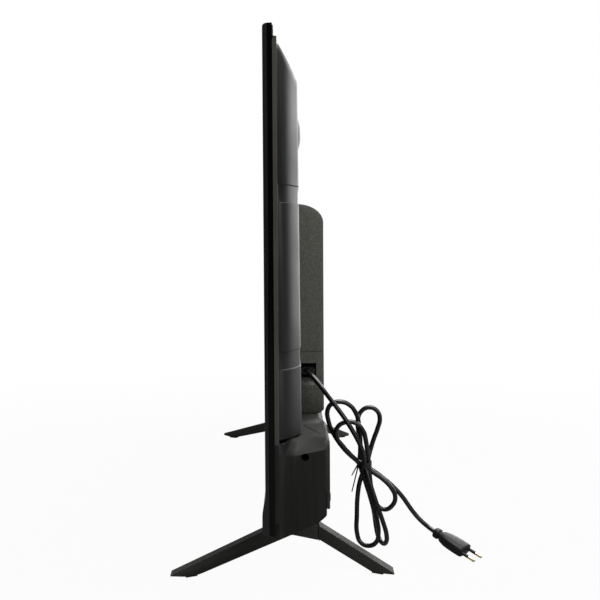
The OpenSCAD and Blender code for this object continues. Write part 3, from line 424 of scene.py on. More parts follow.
def add_piece(name: str, mesh: BMesh, finishes: Iterable[Finish], body: str,
              crease: float = 32.0, flats: bool = False) -> Object:
    """Make a finished piece of a mesh, and let it ride on a body.

    Args:
        name: Name of the piece.
        mesh: Its mesh in metres, which is freed.
        finishes: Finishes in the order of the mesh's material numbers.
        body: Body that carries it.
        crease: Angle in degrees above which an edge stays sharp.
        flats: True to shade only the faces smoothly that the mesh marks.

    Returns:
        The new object.
    """
    for face in mesh.faces:
        face.smooth = face.smooth or not flats
    data = bpy.data.meshes.new(name)
    mesh.to_mesh(data)
    mesh.free()
    for finish in finishes:
        data.materials.append(finish.material())
    data.set_sharp_from_angle(angle=math.radians(crease))
    piece = bpy.data.objects.new(name, data)
    bpy.context.scene.collection.objects.link(piece)
    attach(piece, body)
    LOG.info("%s: %d faces on %s", name, len(data.polygons), body)
    return piece


def prism(outline: Outline, x0: float, x1: float) -> BMesh:
    """Solid with an outline in Y and Z, drawn out along X.

    Args:
        outline: Corners of the outline in millimetres.
        x0: Lower end in millimetres.
        x1: Upper end in millimetres.

    Returns:
        The mesh in metres.
    """
    mesh = bmesh.new()
    near, far = ([mesh.verts.new(metres(x, y, z)) for y, z in outline] for x in (x0, x1))
    for i in range(len(outline)):
        mesh.faces.new((near[i - 1], near[i], far[i], far[i - 1]))
    mesh.faces.new(near)
    mesh.faces.new(far)
    bmesh.ops.recalc_face_normals(mesh, faces=mesh.faces)
    return mesh


def walled(mesh: BMesh, edges: list[BMEdge]) -> list[BMVert]:
    """Add a wall to each edge, edge by edge, so that their order is the same each run.

    Args:
        mesh: Mesh to change.
        edges: Edges that get a wall.

    Returns:
        Far corners of the walls, which are still where the edges are.
    """
    moved = {vert: mesh.verts.new(vert.co) for vert in dict.fromkeys(v for edge in edges for v in edge.verts)}
    for near, far in [tuple(edge.verts) for edge in edges]:
        mesh.faces.new((near, far, moved[far], moved[near]))
    return list(moved.values())


def drawn_out(mesh: BMesh, faces: list[BMFace]) -> list[BMVert]:
    """Draw faces out of a mesh, with walls around them and nothing left in their place.

    Args:
        mesh: Mesh to change.
        faces: Faces to draw out.

    Returns:
        Corners of the drawn faces, which are still where they were.
    """
    moved = {vert: mesh.verts.new(vert.co) for vert in dict.fromkeys(v for face in faces for v in face.verts)}
    rims = [(loop.vert, loop.link_loop_next.vert) for face in faces for loop in face.loops
            if sum(near in faces for near in loop.edge.link_faces) == 1]
    for face in faces:
        mesh.faces.new([moved[vert] for vert in face.verts], face)
    for near, far in rims:
        mesh.faces.new((near, far, moved[far], moved[near]))
    bmesh.ops.delete(mesh, geom=faces, context="FACES")
    return list(moved.values())


def faces_where(mesh: BMesh, test: Callable[[Vector, Vector], bool]) -> list[BMFace]:
    """Faces that pass a test.

    Args:
        mesh: Mesh to search.
        test: Says yes or no to a face's middle in millimetres and its direction.

    Returns:
        The faces.
    """
    return [face for face in mesh.faces if test(face.calc_center_median() / MM, face.normal)]


def cut_at(mesh: BMesh, axis: Axis, *places: float) -> None:
    """Cut a mesh along planes across one axis, and keep both sides.

    Args:
        mesh: Mesh to cut.
        axis: Axis across which the planes lie.
        places: Places of the planes in millimetres.
    """
    normal = axis.way
    for place in places:
        geom = mesh.verts[:] + mesh.edges[:] + mesh.faces[:]
        bmesh.ops.bisect_plane(mesh, geom=geom, plane_co=normal * place * MM, plane_no=normal, dist=CUT_SLACK)


def round_edges(mesh: BMesh, edges: Iterable[BMEdge], width: float,
                segments: int = 3) -> None:
    """Round edges by a bevel.

    Args:
        mesh: Mesh to change.
        edges: Edges to round.
        width: Width of the bevel in millimetres.
        segments: Steps across it.
    """
    made = bmesh.ops.bevel(mesh, geom=list(edges), offset=width * MM, offset_type="OFFSET", segments=segments,
                           profile=0.5, affect="EDGES", clamp_overlap=False, material=-1)
    for face in made["faces"]:
        face.smooth = True


def edges_at(verts: Iterable[BMVert]) -> list[BMEdge]:
    """Edges at some corners, each once, in the same order each run."""
    return list(dict.fromkeys(edge for vert in verts for edge in vert.link_edges))


def sharp_edges(mesh: BMesh, angle: float) -> list[BMEdge]:
    """Outer edges of a mesh that are sharper than an angle in degrees."""
    least = math.radians(angle)
    return [e for e in mesh.edges if e.is_manifold and e.is_convex and e.calc_face_angle() > least]


def biggest_face(mesh: BMesh, way: Vector, span: Pair = (-math.inf, math.inf)) -> BMFace:
    """Find the biggest plane face that looks one way.

    Args:
        mesh: The mesh.
        way: Direction that the face looks in.
        span: Its middle's least and greatest X in millimetres.

    Returns:
        The face.
    """
    low, high = span
    faces = faces_where(mesh, lambda middle, normal: normal.dot(way) > STRAIGHT and low < middle.x < high)
    return max(faces, key=lambda face: face.calc_area())


def sunk_mouth(mesh: BMesh, outline: list[Vector], depth: Vector) -> list[BMEdge]:
    """Walls and floor of a blind opening.

    Args:
        mesh: Mesh that takes them.
        outline: Corners of the mouth in metres.
        depth: Way from the mouth to the floor in metres.

    Returns:
        Edges of the mouth.
    """
    mouth = [mesh.verts.new(place) for place in outline]
    floor = [mesh.verts.new(place + depth) for place in outline]
    for i in range(len(mouth)):
        mesh.faces.new((mouth[i - 1], mouth[i], floor[i], floor[i - 1]))
    mesh.faces.new(floor)
    return [mesh.edges.get((mouth[i - 1], mouth[i])) for i in range(len(mouth))]


def open_face(mesh: BMesh, face: BMFace, mouths: list[BMEdge]) -> None:
    """Fill a flat face again around the mouths of its openings.

    Args:
        mesh: Mesh to change.
        face: Face that the openings pierce.
        mouths: Edges of all mouths on it.
    """
    edges = list(face.edges) + mouths
    mesh.faces.remove(face)
    bmesh.ops.triangle_fill(mesh, edges=edges, use_beauty=True)
    bmesh.ops.recalc_face_normals(mesh, faces=mesh.faces)


def softened(node: str, width: float, segments: int = 2, angle: float = 28.0) -> BMesh:
    """Copy of a solid with its free outer edges rounded, as a mould leaves them.

    Args:
        node: Name of the solid.
        width: Width of the rounding in millimetres.
        segments: Steps across it.
        angle: Least angle in degrees of an edge that is rounded.

    Returns:
        The mesh in metres.
    """
    mesh = bmesh.new()
    mesh.from_mesh(frame["nodes"][node].data)
    bmesh.ops.remove_doubles(mesh, verts=mesh.verts, dist=WELD)
    flat, sharp = math.radians(FLAT_TURN), math.radians(angle)
    bmesh.ops.dissolve_limit(mesh, angle_limit=flat, verts=mesh.verts, edges=mesh.edges)
    room = ROUNDING_ROOM * width * MM

    def free(edge: BMEdge) -> bool:
        """True for a sharp edge with room for the rounding at both ends."""
        return (edge.is_manifold and edge.calc_face_angle() > sharp
                and all(near.calc_length() > room for vert in edge.verts for near in vert.link_edges))

    edges = [edge for edge in mesh.edges if free(edge)]
    for face in mesh.faces:
        face.smooth = any(CURVE_TURN < edge.calc_face_angle(0.0) <= sharp for edge in face.edges)
    plain = {face for face in mesh.faces if not face.smooth}
    round_edges(mesh, edges, width, segments)
    for face in mesh.faces:
        face.smooth = face not in plain
    return mesh


@dataclass(frozen=True)
class Wells:
    """Round blind holes in a rear face, at places in X and Z."""

    places: tuple[Pair, ...]
    radius: float
    depth: float

    def sink(self, mesh: BMesh, y: float) -> list[BMEdge]:
        """Make the walls and floors of the holes.

        Args:
            mesh: Mesh that takes them.
            y: Place of the rear face in millimetres.

        Returns:
            Edges of their mouths.
        """
        mouths = []
        for place in self.places:
            ring = [metres(x, y, z) for x, z in circle(place, self.radius)]
            mouths += sunk_mouth(mesh, ring, metres(0.0, -self.depth, 0.0))
        return mouths


@dataclass(frozen=True)
class SlotRows:
    """Rows of narrow blind slots on both sides of the middle, with their sizes along X and their depth."""

    start: float
    pitch: float
    width: float
    count: int
    depth: float

    def sink(self, mesh: BMesh, low: Pair, high: Pair, way: Vector) -> list[BMEdge]:
        """Make the walls and floors of the slots.

        Args:
            mesh: Mesh that takes them.
            low: Place in Y and Z of their lower ends in millimetres.
            high: Place in Y and Z of their upper ends in millimetres.
            way: Direction in which they are sunk.

        Returns:
            Edges of their mouths.
        """
        mouths = []
        for side in Side:
            for i in range(self.count):
                x0 = side.value * (self.start + i * self.pitch)
                x1 = x0 + side.value * self.width
                slot = [metres(x0, *low), metres(x1, *low), metres(x1, *high), metres(x0, *high)]
                mouths += sunk_mouth(mesh, slot, way * self.depth * MM)
        return mouths


@dataclass(frozen=True)
class Softbox:
    """Square lamp that the camera doesn't see, with its places and edge in metres and its power in watts."""

    name: str
    place: Point
    aim: Point
    size: float
    power: float

    def add(self) -> None:
        """Hang the lamp in the scene."""
        data = bpy.data.lights.new(self.name, "AREA")
        data.size = self.size
        data.energy = self.power
        lamp = bpy.data.objects.new(self.name, data)
        lamp.location = self.place
        lamp.visible_camera = False
        lamp.rotation_euler = (Vector(self.aim) - Vector(self.place)).to_track_quat("-Z", "Y").to_euler()
        bpy.context.scene.collection.objects.link(lamp)


@dataclass
class Studio:
    """Camera, lamps, world and floor."""

    eye: Point = (1.4596, 0.0120, 0.3747)
    yaw: float = 0.552
    pitch: float = -2.666
    roll: float = -0.315
    lens: float = 53.9
    floor_size: float = 12.0
    floor_grey: float = 0.18
    floor_roughness: float = 0.9
    floor_near: float = 0.96
    floor_fade: Pair = (0.5, 1.6)
    ambient: float = 0.07
    lamps: tuple[Softbox, ...] = (
        Softbox("rear_softbox", (-1.9, 1.45, 0.85), (0.2, 0.0, 0.35), 1.6, 44.0),
        Softbox("far_softbox", (-2.3, 0.2, 0.9), (0.0, 0.0, 0.35), 2.4, 20.0),
        Softbox("top_softbox", (0.4, 0.5, 2.3), (0.2, 0.0, 0.2), 1.5, 110.0),
        Softbox("side_softbox", (1.9, 1.2, 1.0), (0.3, 0.0, 0.25), 1.2, 19.0),
        Softbox("front_softbox", (1.0, -2.0, 0.9), (0.3, 0.0, 0.35), 1.3, 7.0))

    def build(self) -> None:
        """Set up the whole studio."""
        self.add_camera()
        self.add_floor()
        self.add_world()
        for lamp in self.lamps:
            lamp.add()
        bpy.context.scene.view_settings.view_transform = "Standard"

    def add_camera(self) -> None:
        """Camera at the photograph's viewing angle."""
        yaw, pitch, roll = (math.radians(a) for a in (self.yaw, self.pitch, self.roll))
        level = Vector((-math.cos(yaw), math.sin(yaw), 0.0))
        right = Vector((math.sin(yaw), math.cos(yaw), 0.0))
        forward = level * math.cos(pitch) + Vector((0.0, 0.0, math.sin(pitch)))
        up = -level * math.sin(pitch) + Vector((0.0, 0.0, math.cos(pitch)))
        across = right * math.cos(roll) + up * math.sin(roll)
        upright = up * math.cos(roll) - right * math.sin(roll)
        turn = Matrix((across, upright, -forward)).transposed().to_4x4()
        data = bpy.data.cameras.new("camera")
        data.lens = self.lens
        camera = bpy.data.objects.new("camera", data)
        camera.matrix_world = Matrix.Translation(Vector(self.eye)) @ turn
        bpy.context.scene.collection.objects.link(camera)
        bpy.context.scene.camera = camera

    def add_floor(self) -> None:
        """Pale floor that keeps the object's shadow."""
        mesh = bmesh.new()
        bmesh.ops.create_grid(mesh, x_segments=1, y_segments=1, size=self.floor_size)
        data = bpy.data.meshes.new("floor")
        mesh.to_mesh(data)
        mesh.free()
        data.materials.append(self.floor_material())
        floor = bpy.data.objects.new("floor", data)
        bpy.context.scene.collection.objects.link(floor)

    def floor_material(self) -> Material:
        """Matt pale floor that turns white to the camera away from the object.

        Returns:
            The new material.
        """
        desk = NodeDesk("pale_floor")
        desk.shader.inputs["Base Color"].default_value = (*[self.floor_grey] * 3, 1.0)
        desk.shader.inputs["Roughness"].default_value = self.floor_roughness
        path = desk.add("LightPath")
        away = desk.add("VectorMath", Vector=desk.place)
        away.operation = "LENGTH"
        fade = desk.mapped(away.outputs["Value"], self.floor_fade, (self.floor_near, 1.0))
        share = desk.add("Math", Value=path.outputs["Is Camera Ray"])
        share.operation = "MULTIPLY"
        desk.feed(share.inputs[1], fade)
        white = desk.add("Emission", Strength=1.0)
        mix = desk.add("MixShader", Fac=share.outputs["Value"])
        desk.feed(mix.inputs[1], desk.shader.outputs["BSDF"])
        desk.feed(mix.inputs[2], white.outputs["Emission"])
        out = next(n for n in desk.tree.nodes if n.type == "OUTPUT_MATERIAL")
        desk.feed(out.inputs["Surface"], mix.outputs["Shader"])
        return desk.material

    def add_world(self) -> None:
        """Soft even light, which is white to the camera and through clear pieces."""
        world = bpy.data.worlds.new("studio")
        world.use_nodes = True
        bpy.context.scene.world = world
        nodes, links = world.node_tree.nodes, world.node_tree.links
        background = nodes["Background"]
        background.inputs["Color"].default_value = (1.0, 1.0, 1.0, 1.0)
        path = nodes.new("ShaderNodeLightPath")
        seen = nodes.new("ShaderNodeMath")
        seen.operation = "MAXIMUM"
        links.new(path.outputs["Is Camera Ray"], seen.inputs[0])
        links.new(path.outputs["Is Transmission Ray"], seen.inputs[1])
        level = nodes.new("ShaderNodeMapRange")
        links.new(seen.outputs["Value"], level.inputs["Value"])
        level.inputs["To Min"].default_value = self.ambient
        level.inputs["To Max"].default_value = 1.0
        links.new(level.outputs["Result"], background.inputs["Strength"])


@dataclass
class FlatPlug:
    """Flat two-pin plug: collar, waist, tapered body and two sleeved pins."""

    face: Point = (358.0, 227.0, 9.0)
    tilt: Pair = (110.0, 50.0)
    points: int = 36
    squareness: float = 3.6
    # Place along the axis, half thickness and half width of each section
    sections: tuple[Triple, ...] = (
        (-47.0, 3.6, 3.6), (-46.6, 5.0, 5.2), (-45.4, 5.8, 6.1), (-40.2, 6.0, 6.4), (-39.2, 5.6, 6.0),
        (-38.6, 4.7, 4.9), (-36.8, 4.6, 4.8), (-36.2, 5.2, 6.6), (-34.6, 5.9, 8.0), (-31.0, 6.5, 9.6),
        (-26.0, 6.9, 11.4), (-20.0, 7.0, 12.4), (-12.0, 7.0, 13.0), (-3.0, 7.0, 13.0), (-0.9, 6.7, 12.6),
        (0.0, 5.9, 11.7))
    pin_pitch: float = 18.0
    pin_length: float = 19.0
    pin_radius: float = 2.0
    pin_root: float = 2.0
    sleeve: float = 10.0
    sleeve_wall: float = 0.1
    sleeve_lap: float = 0.5
    sleeve_rounding: float = 0.2
    tip_rounding: float = 1.1
    body_crease: float = 50.0
    pin_crease: float = 40.0

    def placing(self) -> Matrix:
        """Turn and place of the plug, whose axis points out of its face.

        Returns:
            Matrix from the plug's own axes to the frame's.
        """
        turn_y, turn_z = (math.radians(a) for a in self.tilt)
        turn = Matrix.Rotation(turn_z, 4, "Z") @ Matrix.Rotation(turn_y, 4, "Y")
        return Matrix.Translation(metres(*self.face)) @ turn

    def add_body(self) -> Object:
        """Moulded body along its sections.

        Returns:
            The body.
        """
        mesh = bmesh.new()
        rings = [self.section(mesh, *size) for size in self.sections]
        for near, far in zip(rings, rings[1:]):
            for i in range(self.points):
                mesh.faces.new((near[i - 1], near[i], far[i], far[i - 1]))
        mesh.faces.new(rings[0])
        mesh.faces.new(rings[-1])
        bmesh.ops.recalc_face_normals(mesh, faces=mesh.faces)
        bmesh.ops.transform(mesh, matrix=self.placing(), verts=mesh.verts)
        piece = add_piece("flat_plug", mesh, [PLUG_SATIN], TV, self.body_crease)
        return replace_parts(piece, "mains_plug")

    def section(self, mesh: BMesh, along: float, thick: float, wide: float) -> list[BMVert]:
        """Ring of points with the shape of a flattened oval.

        Args:
            mesh: Mesh that takes them.
            along: Place along the axis in millimetres.
            thick: Half thickness in millimetres.
            wide: Half width in millimetres.

        Returns:
            The points in order.
        """
        ring = []
        for i in range(self.points):
            angle = math.tau * i / self.points
            c, s = math.cos(angle), math.sin(angle)
            swell = (abs(c) ** self.squareness + abs(s) ** self.squareness) ** (-1.0 / self.squareness)
            ring.append(mesh.verts.new(metres(thick * c * swell, wide * s * swell, along)))
        return ring

    def add_pins(self) -> Object:
        """Two pins with plastic sleeves and bare round tips.

        Returns:
            The pins.
        """
        mesh = bmesh.new()
        sleeved = (-self.pin_root, self.sleeve)
        bare = (self.sleeve - self.sleeve_lap, self.pin_length)
        for side in Side:
            self.add_rod(mesh, side, sleeved, self.pin_radius, self.sleeve_rounding)
            self.add_rod(mesh, side, bare, self.pin_radius - self.sleeve_wall, self.tip_rounding)
        for face in faces_where(mesh, lambda middle, normal: middle.z > self.sleeve + self.sleeve_wall):
            face.material_index = 1
        bmesh.ops.transform(mesh, matrix=self.placing(), verts=mesh.verts)
        piece = add_piece("sleeved_pins", mesh, [PLUG_SATIN, PIN_METAL], TV, self.pin_crease)
        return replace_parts(piece, "plug_pins")

    def add_rod(self, mesh: BMesh, side: Side, span: Pair, radius: float, rounding: float) -> None:
        """Add one round length of a pin.

        Args:
            mesh: Mesh that takes it.
            side: Side of the plug.
            span: Places of its inner and outer end along the axis in millimetres.
            radius: Its radius in millimetres.
            rounding: Rounding of its outer end in millimetres.
        """
        start, end = span
        place = Matrix.Translation(metres(0.0, side.value * self.pin_pitch / 2, (start + end) / 2))
        made = bmesh.ops.create_cone(mesh, cap_ends=True, segments=CIRCLE_POINTS, radius1=radius * MM,
                                     radius2=radius * MM, depth=(end - start) * MM, matrix=place)["verts"]
        rim = [e for e in edges_at(made) if all(abs(v.co.z - end * MM) < SAME for v in e.verts)]
        round_edges(mesh, rim, rounding)


@dataclass
class MainsLead:
    """Mains lead: connector, tied bundle of loops, tail and flat plug."""

    diameter: float = 6.0
    length: float = 1.42
    exit_point: Point = (309.0, 34.0, 227.5)
    # From the connector down to the tie
    drop: tuple[Point, ...] = (
        (316, 34.5, 227.5), (323, 37, 226), (329, 41.5, 221.5), (334, 47.5, 214.5), (338.5, 54, 206),
        (341.5, 61, 197), (343.5, 68, 188), (345, 75, 178.5), (345.5, 82, 168), (345.5, 88, 158),
        (345.5, 94, 147), (345, 99, 136), (342.5, 102, 125), (337.5, 103.5, 113))
    # Loops of the bundle in the order in which the lead runs, lower and upper in turn
    lower_middle: tuple[Point, ...] = (
        (339.5, 107, 100), (342, 112.5, 82), (344, 119, 62), (345, 125.5, 43), (343.5, 130, 27),
        (337, 130.5, 15), (328, 127, 10.2), (319.5, 122.5, 15.5), (315.5, 119.5, 29), (316.5, 117, 47),
        (320, 112, 67), (324, 105, 90), (327, 98.2, 113))
    upper_large: tuple[Point, ...] = (
        (326.5, 98.6, 130), (326.5, 98.5, 147), (327, 97, 163), (328, 93.5, 177), (329.5, 85, 188.5),
        (331, 73, 193), (332, 62, 190.5), (332.5, 56.8, 182), (332.5, 57.8, 170), (332.5, 63.8, 154),
        (332, 75.3, 136), (331.2, 90, 121), (331, 103.5, 111.5))
    lower_right: tuple[Point, ...] = (
        (331.5, 115, 102.5), (332.5, 127.5, 93.5), (333, 138, 82), (332.5, 142.5, 70.5), (331.5, 138.5, 59.5),
        (330.5, 129.5, 54.5), (330, 120.5, 59.5), (330.5, 114.5, 72), (332, 111, 90), (334, 109, 113))
    upper_small: tuple[Point, ...] = (
        (335.5, 107, 130), (336.5, 104.8, 145), (337.5, 101.3, 157.5), (338.3, 92.5, 166.8),
        (338.8, 80, 168.4), (338.8, 69.5, 162.5), (338.5, 67.3, 151.5), (337.5, 75, 139), (335.5, 87, 125),
        (333.3, 98, 112.5))
    lower_left: tuple[Point, ...] = (
        (335, 103, 98), (336.5, 108.5, 82), (336.5, 113.8, 62), (335, 119.5, 40), (333, 121, 24),
        (330.5, 118.5, 12.5), (327.5, 109, 6.8), (325, 99, 10.5), (323.5, 94.5, 22), (323, 94.3, 45),
        (323, 95.5, 72), (323.8, 99, 92), (326, 107, 113))
    upper_right: tuple[Point, ...] = (
        (322.5, 112, 130), (320.5, 116.5, 143.5), (320, 121.5, 157), (319.6, 124.3, 169.5),
        (319.3, 120.5, 179.5), (319, 110.5, 183.5), (318.8, 101, 179), (318.8, 96.2, 168), (318.8, 96.8, 153),
        (319, 99.5, 136), (320.3, 103.5, 116))
    # From the tie to the plug
    tail: tuple[Point, ...] = (
        (318.5, 111, 105.5), (318, 120, 99), (319, 129, 92), (320, 138, 84.5), (320.5, 147, 75.5),
        (320, 155, 65.5), (320, 162.5, 54.5), (320, 170, 44.5), (321, 178, 36), (324, 186, 29.6),
        (329.6, 193.2, 25.1))
    # Corners of the box around the tie's band, and both ends of its two strips
    tie_low: Point = (316.5, 94.0, 109.0)
    tie_high: Point = (341.0, 113.0, 117.0)
    tie_sheet: float = 0.8
    tie_points: int = 32
    strips: tuple[tuple[Point, Point], ...] = (((330, 95, 112), (328, 87.5, 98)),
                                               ((332, 95.5, 111), (331, 87.5, 78)))
    strip_radius: Pair = (0.9, 0.7)
    strip_points: int = 8
    ring_steps: int = 4
    curve_steps: int = 5
    connector_rounding: float = 0.6
    connector_steps: int = 3

    def build(self) -> None:
        """Make the lead and the pieces on it."""
        tie = self.add_tie()
        plug = FlatPlug()
        self.add_connector()
        lead = self.add_lead()
        pieces = [tie, plug.add_body(), plug.add_pins()]
        LOG.info("%s: %d points on %s", lead.name, len(self.route()), TV)

    def route(self) -> list[Point]:
        """Points of the whole lead in millimetres, from the connector to the plug."""
        return [self.exit_point, *self.drop, *self.lower_middle, *self.upper_large, *self.lower_right,
                *self.upper_small, *self.lower_left, *self.upper_right, *self.tail]

    def add_lead(self) -> Object:
        """One smooth curve along the route.

        Returns:
            The lead.
        """
        data = bpy.data.curves.new("mains_lead", "CURVE")
        data.dimensions = "3D"
        data.bevel_depth = self.diameter * MM / 2
        data.bevel_resolution = self.ring_steps
        data.resolution_u = self.curve_steps
        data.use_fill_caps = True
        spline = data.splines.new("BEZIER")
        points = self.route()
        spline.bezier_points.add(len(points) - 1)
        for knot, point in zip(spline.bezier_points, points):
            knot.co = metres(*point)
            knot.handle_left_type = "AUTO"
            knot.handle_right_type = "AUTO"
        data.materials.append(LEAD_VINYL.material())
        lead = bpy.data.objects.new("mains_lead", data)
        bpy.context.scene.collection.objects.link(lead)
        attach(lead, TV)
        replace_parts(lead, "cord_lead", "cord_hank", "cord_tail")
        return lead

    def add_tie(self) -> Object:
        """Band around the strands, with its two cut ends.

        Returns:
            The tie.
        """
        low, high = metres(*self.tie_low), metres(*self.tie_high)
        mesh = bmesh.new()
        middle = (low + high) / 2
        ring = bmesh.ops.create_circle(mesh, segments=self.tie_points, radius=0.5)["verts"]
        bmesh.ops.scale(mesh, verts=ring, vec=(high.x - low.x, high.y - low.y, 1.0))
        bmesh.ops.translate(mesh, verts=ring, vec=(middle.x, middle.y, low.z))
        upper = walled(mesh, mesh.edges[:])
        bmesh.ops.translate(mesh, verts=upper, vec=(0.0, 0.0, high.z - low.z))
        bmesh.ops.recalc_face_normals(mesh, faces=mesh.faces)
        bmesh.ops.solidify(mesh, geom=mesh.faces[:], thickness=self.tie_sheet * MM)
        for start, end in self.strips:
            self.add_strip(mesh, metres(*start), metres(*end))
        piece = add_piece("twist_tie", mesh, [KEY_PLASTIC], TV)
        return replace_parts(piece, "cable_tie")

    def add_strip(self, mesh: BMesh, start: Vector, end: Vector) -> None:
        """Add a thin round end of the tie.

        Args:
            mesh: Mesh that takes it.
            start: Where it leaves the band.
            end: Its cut end.
        """
        run = end - start
        turn = run.to_track_quat("Z", "Y").to_matrix().to_4x4()
        place = Matrix.Translation((start + end) / 2) @ turn
        near, far = metres(*self.strip_radius)
        bmesh.ops.create_cone(mesh, cap_ends=True, segments=self.strip_points, radius1=near, radius2=far,
                              depth=run.length, matrix=place)

    def add_connector(self) -> None:
        """Connector in the inlet, with rounded edges."""
        mesh = softened("appliance_connector", self.connector_rounding, self.connector_steps)
        piece = add_piece("lead_connector", mesh, [LEAD_VINYL], TV)
        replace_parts(piece, "appliance_connector")


@dataclass
class FrontBezel:
    """Glossy front frame with a rounded upper edge, a proud chin and a receiver window."""

    half_width: float = 481.0
    half_picture: float = 470.5
    wall: float = 2.2
    bottom: float = 68.0
    top: float = 628.0
    picture_low: float = 89.0
    picture_high: float = 618.0
    swell: float = 25.0
    swell_steps: int = 10
    chin_y: float = -21.5
    front_y: float = -18.0
    shelf_y: float = -16.0
    rear_y: float = -7.2
    score_y: float = -13.6
    score_half: float = 0.6
    score_slack: float = 0.1
    lip_turn: float = 0.3
    top_radius: float = 4.5
    chin_radius: float = 4.0
    corner_steps: int = 8
    rounding: float = 1.2
    sharp_angle: float = 35.0
    flat_angle: float = 0.2
    # Left, right, lower and upper edge of the receiver window, and the room behind it
    window: Rect = (399.5, 421.5, 75.5, 83.5)
    window_room: float = 1.0

    def build(self) -> None:
        """Make the bezel."""
        mesh = prism(self.profile(), -self.half_width, self.half_width)
        inner = self.half_width - self.wall
        low, high = self.bottom + self.wall, self.top - self.wall
        cut_at(mesh, Axis.X, -inner, -self.half_picture, self.half_picture, inner, *self.window[:2])
        cut_at(mesh, Axis.Z, low, self.picture_low, self.picture_high, high, *self.window[2:],
               self.picture_low - self.wall)
        front = self.facing(mesh, -Axis.Y.way, self.half_picture, self.picture_low, self.picture_high)
        back = self.facing(mesh, Axis.Y.way, inner, low, high)
        bmesh.ops.delete(mesh, geom=front + back, context="FACES")
        self.join_openings(mesh)
        self.hollow_chin(mesh)
        self.soften(mesh)
        self.score_sides(mesh)
        self.tint_lip(mesh)
        piece = add_piece("glossy_bezel", mesh, [GLOSS_BLACK, LIP_REFLECTION_TONE], TV)
        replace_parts(piece, "front_bezel")

    def profile(self) -> Outline:
        """Outline of a side bar in Y and Z, seen from its end.

        Returns:
            Corners in millimetres.
        """
        steps, upper, lower = self.swell_steps, self.top_radius, self.chin_radius
        outline = [(self.rear_y, self.bottom), (self.rear_y, self.top)]
        outline += arc((self.front_y + upper, self.top - upper), upper, 90, 90, self.corner_steps)
        for i in range(steps + 1):
            ease = (1.0 - math.cos(math.pi * i / steps)) / 2
            outline.append((self.front_y + (self.chin_y - self.front_y) * ease,
                            self.picture_low + self.swell * (1.0 - i / steps)))
        outline += arc((self.chin_y + lower, self.bottom + lower), lower, 180, 90, self.corner_steps)
        return outline

    @staticmethod
    def facing(mesh: BMesh, way: Vector, half: float, low: float, high: float) -> list[BMFace]:
        """Faces in a rectangle that look forwards or backwards.

        Args:
            mesh: Mesh to search.
            way: Direction that they look in.
            half: Half the width of the rectangle in millimetres.
            low: Its lower edge in millimetres.
            high: Its upper edge in millimetres.

        Returns:
            The faces.
        """
        return faces_where(mesh, lambda middle, normal: abs(middle.x) < half and low < middle.z < high
                           and normal.dot(way) > FACING)

    def join_openings(self, mesh: BMesh) -> None:
        """Draw both openings in to the rear of the front lip, and join them there.

        Args:
            mesh: Mesh of the bezel.
        """
        rims = [edge for edge in mesh.edges if edge.is_boundary]
        for vert in walled(mesh, rims):
            vert.co.y = self.shelf_y * MM
        bmesh.ops.bridge_loops(mesh, edges=[edge for edge in mesh.edges if edge.is_boundary])
        bmesh.ops.recalc_face_normals(mesh, faces=mesh.faces)

    def hollow_chin(self, mesh: BMesh) -> None:
        """Sink the receiver window's opening into the chin.

        Args:
            mesh: Mesh of the bezel.
        """
        x0, x1, z0, z1 = self.window
        faces = faces_where(mesh, lambda middle, normal: x0 < middle.x < x1 and z0 < middle.z < z1
                            and normal.y < -STRAIGHT)
        moved = drawn_out(mesh, faces)
        bmesh.ops.translate(mesh, verts=moved, vec=metres(0.0, self.wall + self.window_room, 0.0))

    def score_sides(self, mesh: BMesh) -> None:
        """Press a fine line into both sides, where the two halves of the mould met.

        Args:
            mesh: Mesh of the bezel.
        """
        middle, half = self.score_y, self.score_half
        cut_at(mesh, Axis.Y, middle - half, middle, middle + half)
        for vert in mesh.verts:
            outside = abs(vert.co.x) > (self.half_width - self.score_slack) * MM
            if outside and abs(vert.co.y - middle * MM) < SAME:
                vert.co.x -= math.copysign(half * MM, vert.co.x)

    def tint_lip(self, mesh: BMesh) -> None:
        """Give the sides in front of the score line the second finish, a lighter tone that paints the lip's
        reflections.

        Args:
            mesh: Mesh of the bezel.
        """
        for face in faces_where(mesh, lambda middle, normal: abs(normal.x) > self.lip_turn
                                and middle.y < self.score_y and abs(middle.x) > self.half_picture):
            face.material_index = 1

    def soften(self, mesh: BMesh) -> None:
        """Join flat faces, and round the outer edges of both sides.

        Args:
            mesh: Mesh of the bezel.
        """
        flat, sharp = math.radians(self.flat_angle), math.radians(self.sharp_angle)
        bmesh.ops.dissolve_limit(mesh, angle_limit=flat, verts=mesh.verts, edges=mesh.edges)
        edges = [e for e in mesh.edges if e.is_manifold and e.calc_face_angle() > sharp]
        outer = [e for e in edges if all(abs(abs(v.co.x) - self.half_width * MM) < SAME
                                         and v.co.y < self.rear_y * MM - SAME for v in e.verts)]
        round_edges(mesh, outer, self.rounding)


